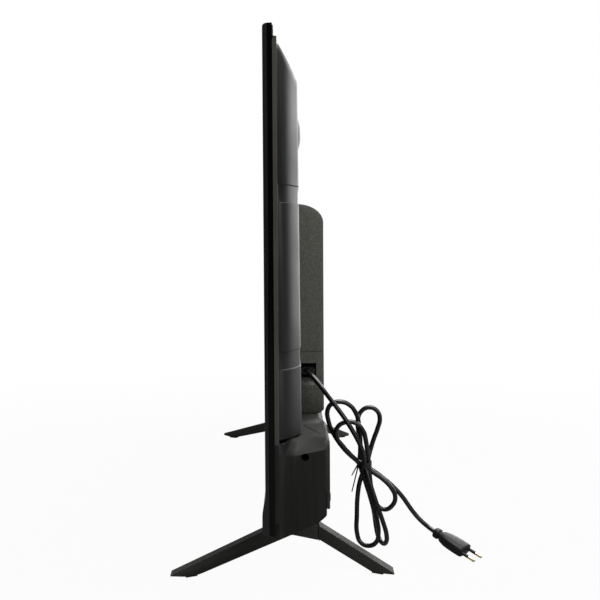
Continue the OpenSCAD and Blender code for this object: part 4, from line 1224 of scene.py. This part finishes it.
@dataclass
class PressedTray:
    """Pressed steel pan behind the panel: rim, sloped sides, two stamped bands and two bosses."""

    # Half width, lower edge and upper edge of the rim, of the slopes' foot and of the plateau
    rim: Triple = (479.0, 81.5, 614.5)
    foot: Triple = (472.0, 91.0, 613.0)
    plateau: Triple = (430.0, 127.0, 577.0)
    rim_y: Pair = (-7.2, -2.5)
    rim_slack: float = 0.05
    flange_top: float = 626.0
    flange_lap: float = 1.0
    plateau_y: float = 20.0
    slope_rounding: float = 9.0
    slope_steps: int = 5
    edge_rounding: float = 3.0
    edge_steps: int = 4
    edge_angle: float = 8.0
    bands: tuple[float, ...] = (261.0, 446.0)
    band_half: float = 10.5
    band_edge: float = 1.0
    band_depth: float = 1.0
    bulge: float = 9.0
    bulge_steps: int = 8
    bulge_fade: Pair = (150.0, 185.0)
    groove: Pair = (169.0, 172.5)
    groove_lips: Pair = (1.0, 0.6)
    groove_depth: float = 2.5
    groove_front: float = 1.0
    lean: float = 3.5
    # Place in X and Z, radius of the foot and of the top, and height of a boss
    boss: Pair = (400.0, 519.0)
    boss_radius: Pair = (23.0, 11.0)
    boss_height: float = 3.5
    boss_points: int = 48
    boss_rounding: float = 6.0
    boss_steps: int = 5
    sheet: float = 1.0
    crease: float = 40.0

    def build(self) -> None:
        """Make the pan, its bosses and its flange."""
        mesh = bmesh.new()
        rings = [self.ring(mesh, self.rim, self.rim_y[0]), self.ring(mesh, self.rim, self.rim_y[1]),
                 self.ring(mesh, self.foot, self.rim_y[1]), self.ring(mesh, self.plateau, self.plateau_y)]
        for near, far in zip(rings, rings[1:]):
            for i in range(len(near)):
                mesh.faces.new((near[i], near[i - 1], far[i - 1], far[i]))
        mesh.faces.new(rings[-1])
        bmesh.ops.recalc_face_normals(mesh, faces=mesh.faces)
        self.round_slopes(mesh, rings)
        self.swell_sides(mesh)
        self.stamp_bands(mesh)
        self.press_groove(mesh)
        self.tint(mesh)
        bmesh.ops.recalc_face_normals(mesh, faces=mesh.faces)
        bmesh.ops.solidify(mesh, geom=mesh.faces[:], thickness=self.sheet * MM)
        for side in Side:
            self.add_boss(mesh, side)
        self.add_flange(mesh)
        finishes = [TRAY_PAINT, RIM_ZINC, GAP_SHADOW_BLACK]
        piece = add_piece("pressed_pan", mesh, finishes, TV, self.crease)
        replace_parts(piece, "backlight_tray")

    def tint(self, mesh: BMesh) -> None:
        """Give the rim its bare finish above the groove and the darker pan paint below it as painted shade
        beside the lower cover, and colour the groove near black as the painted shadow of its gap.

        Args:
            mesh: Mesh of the pan.
        """
        low, high = self.groove[0], self.groove[1] + self.groove_lips[1]
        for face in mesh.faces:
            middle = face.calc_center_median() / MM
            on_rim = middle.y < self.rim_y[1] + self.rim_slack
            # Rim faces below the groove take the darker pan paint as painted shade beside the lower cover;
            # groove faces take the near-black painted gap shadow.
            if on_rim:
                face.material_index = int(middle.z > low)
            elif low < middle.z < high:
                face.material_index = 2

    @staticmethod
    def ring(mesh: BMesh, size: Triple, y: float) -> list[BMVert]:
        """Four corners of a rectangle across Y.

        Args:
            mesh: Mesh that takes them.
            size: Half width, lower edge and upper edge in millimetres.
            y: Place along Y in millimetres.

        Returns:
            The corners in order.
        """
        half, low, high = size
        corners = ((-half, low), (half, low), (half, high), (-half, high))
        return [mesh.verts.new(metres(x, y, z)) for x, z in corners]

    def round_slopes(self, mesh: BMesh, rings: list[list[BMVert]]) -> None:
        """Round the pan's sloped corners, then the edges around its plateau.

        Args:
            mesh: Mesh of the pan.
            rings: Its rings of corners, from the rim to the plateau.
        """
        foot, top = rings[2], rings[3]
        corners = [mesh.edges.get((a, b)) for a, b in zip(foot, top)]
        top_y = top[0].co.y
        round_edges(mesh, corners, self.slope_rounding, self.slope_steps)
        edge = [e for e in mesh.edges if all(abs(v.co.y - top_y) < SAME for v in e.verts)
                and e.calc_face_angle(0.0) > math.radians(self.edge_angle)]
        round_edges(mesh, edge, self.edge_rounding, self.edge_steps)

    def swell_sides(self, mesh: BMesh) -> None:
        """Swell the pan's upright slopes above the lower cover, and deepen the pan towards its lower end.

        Args:
            mesh: Mesh of the pan.
        """
        low, high = self.rim_y[1], self.plateau_y
        cut_at(mesh, Axis.Y, *(low + (high - low) * i / self.bulge_steps for i in range(1, self.bulge_steps)))
        cut_at(mesh, Axis.Z, *self.bulge_fade)
        bottom, top = self.plateau[1:]
        for vert in mesh.verts:
            share = part_way(vert.co.y / MM, low, high)
            height = vert.co.z / MM
            if 0.0 < share < 1.0 and abs(vert.co.x) > self.plateau[0] * MM:
                clear = part_way(height, *self.bulge_fade)
                vert.co.x += math.copysign(self.bulge * clear * math.sin(math.pi * share) * MM, vert.co.x)
            vert.co.y += self.lean * share * (1.0 - (height - bottom) / (top - bottom)) * MM

    def stamp_bands(self, mesh: BMesh) -> None:
        """Sink two bands across the pan by the depth of the stamping.

        Args:
            mesh: Mesh of the pan.
        """
        outer = self.band_half
        inner = outer - self.band_edge
        for band in self.bands:
            cut_at(mesh, Axis.Z, band - outer, band - inner, band + inner, band + outer)
        for vert in mesh.verts:
            near = min(abs(vert.co.z / MM - band) for band in self.bands)
            if near < inner + self.rim_slack and vert.co.y > (self.rim_y[1] + self.rim_slack) * MM:
                vert.co.y -= self.band_depth * MM
                if abs(vert.co.x) > self.plateau[0] * MM:
                    vert.co.x -= math.copysign(self.band_depth * MM, vert.co.x)

    def press_groove(self, mesh: BMesh) -> None:
        """Sink the groove that leaves a gap above the lower cover.

        Args:
            mesh: Mesh of the pan.
        """
        low, high = self.groove
        cut_at(mesh, Axis.Z, low - self.groove_lips[0], low, high, high + self.groove_lips[1])
        depth = self.groove_depth * MM
        for vert in mesh.verts:
            within = low * MM - SAME < vert.co.z < high * MM + SAME
            if within and vert.co.y > self.groove_front * MM:
                vert.co.y -= depth
                vert.co.x -= math.copysign(depth, vert.co.x)

    def add_flange(self, mesh: BMesh) -> None:
        """Add the thin upright flange above the pan.

        Args:
            mesh: Mesh of the pan.
        """
        top, thick = self.flange_top, self.sheet
        half, low = self.rim[0], self.foot[2] - self.flange_lap
        size = Matrix.Diagonal((*metres(2 * half, thick, top - low), 1.0))
        place = Matrix.Translation(metres(0.0, self.rim_y[0] + thick / 2, (low + top) / 2))
        made = bmesh.ops.create_cube(mesh, size=1.0, matrix=place @ size)["verts"]
        for face in {face for vert in made for face in vert.link_faces}:
            face.material_index = 1

    def add_boss(self, mesh: BMesh, side: Side) -> None:
        """Add a round stamped boss to the plateau.

        Args:
            mesh: Mesh of the pan.
            side: Side of the screen.
        """
        x, z = self.boss
        low, high = self.plateau_y - self.sheet, self.plateau_y + self.boss_height
        turn = Matrix.Rotation(math.radians(-90.0), 4, "X")
        place = Matrix.Translation(metres(side.value * x, (low + high) / 2, z)) @ turn
        foot, top = metres(*self.boss_radius)
        made = bmesh.ops.create_cone(mesh, cap_ends=True, segments=self.boss_points, radius1=foot,
                                     radius2=top, depth=(high - low) * MM, matrix=place)["verts"]
        edges = [e for e in edges_at(made) if all(abs(v.co.y - high * MM) < SAME for v in e.verts)]
        round_edges(mesh, edges, self.boss_rounding, self.boss_steps)


@dataclass
class ElectronicsBox:
    """Textured box over the boards: crowned top, inlet recess, jack opening, vents and wells."""

    half: float = 290.0
    low: float = 171.5
    high: float = 445.0
    crown: float = 24.0
    crown_steps: int = 24
    crown_turn: float = 0.02
    front_y: float = 20.0
    rear_y: float = 54.0
    heel: float = 5.0
    rounding: float = 1.2
    sharp_angle: float = 25.0
    # Openings in the sides: front, rear, lower and upper edge
    recess: Rect = (24.0, 44.0, 217.5, 237.5)
    recess_depth: float = 30.5
    ledge_inset: float = 1.0
    ledge_drop: float = 8.5
    ledge_run: float = 9.0
    seam_z: float = 253.0
    seam_half: float = 0.45
    jacks: Rect = (28.0, 46.2, 219.5, 381.5)
    jack_depth: float = 14.0
    vents: SlotRows = SlotRows(126.0, 14.0, 4.0, 9, 5.0)
    vent_z: Pair = (325.5, 391.5)
    mounts: Wells = Wells(((-100.0, 210.25), (-100.0, 410.25), (100.0, 210.25), (100.0, 410.25)), 6.3, 22.5)
    screws: Wells = Wells(((-278.0, 186.5), (-278.0, 415.0), (278.0, 186.5), (278.0, 415.0), (0.0, 186.5),
                           (0.0, 415.0)), 3.5, 28.0)

    def build(self) -> None:
        """Make the box."""
        mesh = prism(self.outline(), -self.half, self.half)
        for face in mesh.faces:
            face.smooth = min(face.normal.y, face.normal.z) > self.crown_turn
        round_edges(mesh, sharp_edges(mesh, self.sharp_angle), self.rounding)
        self.open_sides(mesh)
        self.open_rear(mesh)
        self.press_seam(mesh)
        piece = add_piece("electronics_box", mesh, [REAR_TEXTURE], TV, flats=True)
        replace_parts(piece, "rear_cover")

    def outline(self) -> Outline:
        """Outline in Y and Z, with the crown at the top.

        Returns:
            Corners in millimetres.
        """
        corners = [(self.front_y, self.low), (self.rear_y - self.heel, self.low),
                   (self.rear_y, self.low + self.heel)]
        for i in range(self.crown_steps + 1):
            turn = math.radians(90.0 * i / self.crown_steps)
            corners.append((self.front_y + (self.rear_y - self.front_y) * math.cos(turn),
                            self.high - self.crown + self.crown * math.sin(turn)))
        return corners

    def open_sides(self, mesh: BMesh) -> None:
        """Open the inlet recess on one side, and the jack opening on the other.

        Args:
            mesh: Mesh of the box.
        """
        near = biggest_face(mesh, Axis.X.way)
        open_face(mesh, near, self.inlet_recess(mesh))
        far = biggest_face(mesh, -Axis.X.way)
        jacks = self.panel(-self.half, *self.jacks)
        open_face(mesh, far, sunk_mouth(mesh, jacks, metres(self.jack_depth, 0.0, 0.0)))

    def press_seam(self, mesh: BMesh) -> None:
        """Press a thin seam into the near side, above the inlet.

        Args:
            mesh: Mesh of the box.
        """
        low, high = self.seam_z - self.seam_half, self.seam_z + self.seam_half
        cut_at(mesh, Axis.Z, low, high)
        strip = faces_where(mesh, lambda middle, normal: low < middle.z < high and normal.x > STRAIGHT)
        bmesh.ops.translate(mesh, verts=drawn_out(mesh, strip), vec=metres(low - high, 0.0, 0.0))

    @staticmethod
    def panel(x: float, y0: float, y1: float, z0: float, z1: float) -> list[Vector]:
        """Corners of a rectangle across X, in metres."""
        return [metres(x, y0, z0), metres(x, y1, z0), metres(x, y1, z1), metres(x, y0, z1)]

    def inlet_recess(self, mesh: BMesh) -> list[BMEdge]:
        """Recess of the mains inlet, with a sloped ledge under it.

        Args:
            mesh: Mesh of the box.

        Returns:
            Edges of its mouth.
        """
        y0, y1, z0, z1 = self.recess
        front, rear, bottom = y0 + self.ledge_inset, y1 - self.ledge_inset, z0 - self.ledge_drop
        x, deep, run = self.half, self.half - self.recess_depth, self.half - self.ledge_run
        outline = ((y0, z1), (y1, z1), (y1, z0), (rear, z0), (rear, bottom), (front, bottom), (front, z0),
                   (y0, z0))
        mouth = [mesh.verts.new(metres(x, y, z)) for y, z in outline]
        back = [mesh.verts.new(metres(deep, y, z)) for y, z in ((y0, z1), (y1, z1), (y1, z0), (y0, z0))]
        lip = [mesh.verts.new(metres(run, y, z0)) for y in (rear, front)]
        for corners in ((mouth[0], mouth[1], back[1], back[0]), (mouth[1], mouth[2], back[2], back[1]),
                        (mouth[7], mouth[0], back[0], back[3]), back,
                        (mouth[2], mouth[3], lip[0], lip[1], mouth[6], mouth[7], back[3], back[2]),
                        (mouth[3], mouth[4], lip[0]), (mouth[5], mouth[6], lip[1]),
                        (mouth[4], mouth[5], lip[1], lip[0])):
            mesh.faces.new(corners)
        return [mesh.edges.get((mouth[i - 1], mouth[i])) for i in range(len(mouth))]

    def open_rear(self, mesh: BMesh) -> None:
        """Open the vents, the mount holes and the screw wells in the rear.

        Args:
            mesh: Mesh of the box.
        """
        rear = biggest_face(mesh, Axis.Y.way)
        low, high = ((self.rear_y, z) for z in self.vent_z)
        mouths = self.vents.sink(mesh, low, high, -Axis.Y.way)
        for wells in (self.mounts, self.screws):
            mouths += wells.sink(mesh, self.rear_y)
        open_face(mesh, rear, mouths)


@dataclass
class LowerShell:
    """Cover over the speakers and the feet's brackets, with flared ends that are rounded at the top."""

    half: float = 462.0
    flare: float = 475.0
    front_y: float = -7.2
    flare_y: Pair = (-2.5, 4.0)
    rear_y: float = 54.5
    chamfer: float = 5.0
    low: float = 63.0
    high: float = 171.0
    # Upper rear edge, and the step under the rear wall
    brow: float = 3.0
    step_y: float = 50.8
    step_z: float = 92.0
    # Underside in Y and Z, from its lowest corner to the step
    keel: Pair = (11.0, 63.0)
    bilge: Pair = (38.0, 75.0)
    heel: Pair = (43.0, 78.0)
    heel_top: float = 85.0
    # Rounded upper ends: drops at three places along Y, run along X, and the cuts that the curve needs
    crown_y: Triple = (-2.5, 6.0, 54.5)
    crown_drop: Triple = (2.0, 20.0, 9.5)
    crown_run: Pair = (8.0, 22.0)
    crown_power: float = 1.7
    crown_steps: tuple[float, ...] = (8.0, 10.0, 12.0, 14.0, 16.0, 18.0, 20.0, 23.0, 27.0, 31.0, 35.0, 39.0,
                                      43.0, 46.5)
    crown_cuts: tuple[float, ...] = (34.0, 30.0, 26.0, 22.0, 18.5, 15.5, 12.5, 10.0, 8.0, 6.0, 4.5, 3.0, 1.8,
                                     0.8)
    # The pan's half width at its foot and at its plateau, and its swell
    pan_half: Triple = (472.0, 430.0, 5.5)
    pan_y: Pair = (-2.5, 23.0)
    wall_gap: float = 1.35
    least_run: float = 7.0
    lean_x: Pair = (311.0, 343.0)
    lean_y: float = 24.0
    lean_z: float = 155.0
    lean: float = 6.5
    pod: Pair = (360.0, 112.0)
    pod_slack: float = 0.1
    rounding: float = 1.0
    sharp_angle: float = 20.0
    flat_angle: float = 0.1
    # Least rise and lean of a face on the rounded ends
    curved: Pair = (0.05, 0.001)
    # Place in Y and Z of the screw recess in each end
    recess: Pair = (26.4, 151.5)
    recess_radius: float = 4.5
    recess_depth: float = 27.0
    screws: Wells = Wells(((-333.0, 148.0), (-90.0, 148.0), (90.0, 148.0), (333.0, 148.0)), 3.5, 28.0)
    grilles: SlotRows = SlotRows(188.0, 10.0, 4.0, 12, 4.0)
    # Ends of the slots, as shares of the way up the underside
    grille_share: Pair = (0.12, 0.88)
    parting: tuple[Pair, Pair] = ((371.0, 26.5), (426.0, 45.0))
    parting_width: float = 3.6
    parting_depth: float = 3.0
    parting_field: Pair = (365.0, 432.0)
    plain_half: float = 428.1
    plain_z: float = 145.0

    def build(self) -> None:
        """Make the cover."""
        mesh = prism(self.outline(), -self.flare, self.flare)
        self.shape_ends(mesh)
        self.crown_ends(mesh)
        self.seat_pod(mesh)
        self.lean_middle(mesh)
        flat = math.radians(self.flat_angle)
        bmesh.ops.dissolve_limit(mesh, angle_limit=flat, verts=mesh.verts, edges=mesh.edges)
        bmesh.ops.recalc_face_normals(mesh, faces=mesh.faces)
        rise, lean = self.curved
        for face in mesh.faces:
            face.smooth = face.normal.z > rise and abs(face.normal.x) > lean
        plain = [e for e in sharp_edges(mesh, self.sharp_angle) if all(self.is_plain(v) for v in e.verts)]
        round_edges(mesh, plain, self.rounding)
        self.open_faces(mesh)
        piece = add_piece("lower_shell", mesh, [LOWER_SATIN], TV, flats=True)
        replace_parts(piece, "lower_cover")

    def outline(self) -> Outline:
        """Outline in Y and Z.

        Returns:
            Corners in millimetres.
        """
        return [(self.front_y, self.low), self.keel, self.bilge, self.heel, (self.step_y, self.heel_top),
                (self.step_y, self.step_z), (self.rear_y, self.step_z), (self.rear_y, self.high - self.brow),
                (self.rear_y - self.brow, self.high), (self.front_y, self.high)]

    def is_plain(self, vert: BMVert) -> bool:
        """True for a corner away from the rounded upper ends."""
        return abs(vert.co.x) < self.plain_half * MM or vert.co.z < self.plain_z * MM

    def reach(self, y: float) -> float:
        """Half width of the cover at a place along Y, in millimetres."""
        share = part_way(y, *self.flare_y)
        return self.flare + (self.half - self.flare) * share - max(y - self.rear_y + self.chamfer, 0.0)

    def shape_ends(self, mesh: BMesh) -> None:
        """Draw the ends in behind the flare, and chamfer their rear edges.

        Args:
            mesh: Mesh of the cover.
        """
        cut_at(mesh, Axis.Y, *self.flare_y, self.rear_y - self.chamfer, self.step_y)
        for vert in mesh.verts:
            vert.co.x = math.copysign(self.reach(vert.co.y / MM) * MM, vert.co.x)

    def crown_at(self, y: float) -> Pair:
        """Drop and run of the rounded upper end at a place along Y.

        Args:
            y: Place in millimetres.

        Returns:
            Drop of its outer edge, and its length along X, in millimetres.
        """
        front, middle, rear = self.crown_y
        first, most, last = self.crown_drop
        drop = first + (most - first) * part_way(y, front, middle)
        drop += (last - most) * part_way(y, middle, rear)
        ends, more = self.crown_run
        free = math.hypot(self.wall_gap * max(self.reach(y) - self.wall(y), 0.0), self.least_run)
        return drop, min(ends + more * math.sin(math.pi * part_way(y, front, rear)), free)

    def wall(self, y: float) -> float:
        """Half width of the pan beside the rounded end.

        Args:
            y: Place in millimetres.

        Returns:
            The half width in millimetres.
        """
        foot, top, bulge = self.pan_half
        share = part_way(y, *self.pan_y)
        return foot + (top - foot) * share + bulge * math.sin(math.pi * share)

    def crown_ends(self, mesh: BMesh) -> None:
        """Round off the upper face towards both ends.

        Args:
            mesh: Mesh of the cover.
        """
        cut_at(mesh, Axis.X, *(side.value * (self.half - cut) for side in Side for cut in self.crown_cuts))
        cut_at(mesh, Axis.Y, self.crown_y[1], *self.crown_steps)
        for vert in mesh.verts:
            x, y, z = vert.co / MM
            drop, run = self.crown_at(y)
            turn = part_way(abs(x) - self.reach(y), -run, 0.0)
            if z > self.plain_z:
                vert.co.z = min(z, self.high - drop * turn ** self.crown_power) * MM

    def seat_pod(self, mesh: BMesh) -> None:
        """Set the corner back where the key pod sits.

        Args:
            mesh: Mesh of the cover.
        """
        x, z = self.pod
        cut_at(mesh, Axis.X, x)
        cut_at(mesh, Axis.Z, z)
        low, front = self.step_z - self.pod_slack, self.step_y + self.pod_slack
        seat = faces_where(mesh, lambda middle, normal: middle.x > x and low < middle.z < z
                           and middle.y > front)
        for vert in drawn_out(mesh, seat):
            vert.co.y = min(vert.co.y, self.step_y * MM)
        bmesh.ops.remove_doubles(mesh, verts=mesh.verts, dist=WELD)

    def lean_middle(self, mesh: BMesh) -> None:
        """Lean the upper rear edge forwards between the feet.

        Args:
            mesh: Mesh of the cover.
        """
        near, far = self.lean_x
        cut_at(mesh, Axis.X, -far, -near, near, far)
        cut_at(mesh, Axis.Z, self.lean_z)
        for vert in mesh.verts:
            if abs(vert.co.x) < near * MM + SAME:
                rise = part_way(vert.co.z / MM, self.lean_z, self.high)
                share = part_way(vert.co.y / MM, self.lean_y, self.rear_y)
                vert.co.y -= self.lean * rise * share * MM
        bmesh.ops.connect_verts_nonplanar(mesh, angle_limit=math.radians(self.flat_angle), faces=mesh.faces)

    def open_faces(self, mesh: BMesh) -> None:
        """Open the screw wells, the parting lines and the grilles.

        Args:
            mesh: Mesh of the cover.
        """
        rim = circle(self.recess, self.recess_radius)
        for side in Side:
            ring = [metres(side.value * self.half, y, z) for y, z in rim]
            well = sunk_mouth(mesh, ring, metres(-side.value * self.recess_depth, 0.0, 0.0))
            open_face(mesh, biggest_face(mesh, side.value * Axis.X.way), well)
        near, far = self.parting_field
        cut_at(mesh, Axis.X, -far, -near, near, far)
        for side in Side:
            strip = [metres(side.value * x, y, self.high) for x, y in self.parting_strip()]
            mouth = sunk_mouth(mesh, strip, metres(0.0, 0.0, -self.parting_depth))
            span = (near, far) if side is Side.RIGHT else (-far, -near)
            open_face(mesh, biggest_face(mesh, Axis.Z.way, span), mouth)
        wells = self.screws.sink(mesh, self.rear_y)
        open_face(mesh, biggest_face(mesh, Axis.Y.way), wells)
        self.open_grilles(mesh)

    def parting_strip(self) -> Outline:
        """Outline in X and Y of the parting line on the upper face.

        Returns:
            Corners in millimetres.
        """
        start, end = self.parting
        wide = self.parting_width
        return [start, (start[0] + wide, start[1]), (end[0] + wide, end[1]), end]

    def open_grilles(self, mesh: BMesh) -> None:
        """Open the rows of slots under both speakers.

        Args:
            mesh: Mesh of the cover.
        """
        keel_y, keel_z = self.keel
        run, rise = self.bilge[0] - keel_y, self.bilge[1] - keel_z
        down = Vector((0.0, rise, -run)).normalized()
        low, high = ((keel_y + run * share, keel_z + rise * share) for share in self.grille_share)
        mouths = self.grilles.sink(mesh, low, high, -down)
        open_face(mesh, biggest_face(mesh, down), mouths)


@dataclass
class KeyPod:
    """Block at the lower cover's rear corner that guides the keys."""

    rounding: float = 0.4

    def build(self) -> None:
        """Make the pod."""
        mesh = softened("key_pod", self.rounding)
        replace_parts(add_piece("pod", mesh, [KEY_PLASTIC], TV, flats=True), "key_pod")


@dataclass
class Feet:
    """Two V-shaped feet with rounded edges."""

    rounding: float = 1.6
    steps: int = 3

    def build(self) -> None:
        """Make both feet."""
        for side in Side:
            node = "foot_" + side.name.lower()
            mesh = softened(node, self.rounding, self.steps)
            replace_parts(add_piece("v_" + node, mesh, [FOOT_SATIN], TV, flats=True), node)


@dataclass
class Keys:
    """Six keys, each on its own sliding body."""

    rounding: float = 0.5

    def build(self) -> None:
        """Make the keys that their own bodies carry."""
        for node in sorted(name for name in frame["nodes"] if name.startswith("key_")):
            if node in frame["bodies"]:
                mesh = softened(node, self.rounding)
                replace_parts(add_piece("cap_" + node, mesh, [KEY_PLASTIC], node, flats=True), node)


class Innards:
    """Solids that stay as they are, each with the finish of its slot."""

    def build(self) -> None:
        """Dress every solid."""
        for part in frame["record"]["subparts"]:
            data = frame["nodes"][part["node"]].data
            data.materials.clear()
            data.materials.append(NODE_FINISHES[part["material_slot"]].material())


def main() -> None:
    """Build the scene, the camera and the lead first."""
    logging.basicConfig(level=logging.INFO, format="%(name)s: %(message)s")
    for kind in (Studio, MainsLead, FrontBezel, PressedTray, ElectronicsBox, LowerShell, KeyPod, Feet, Keys,
                 Innards):
        kind().build()
        LOG.info("%s done", kind.__name__)


if __name__ == "__main__":
    main()
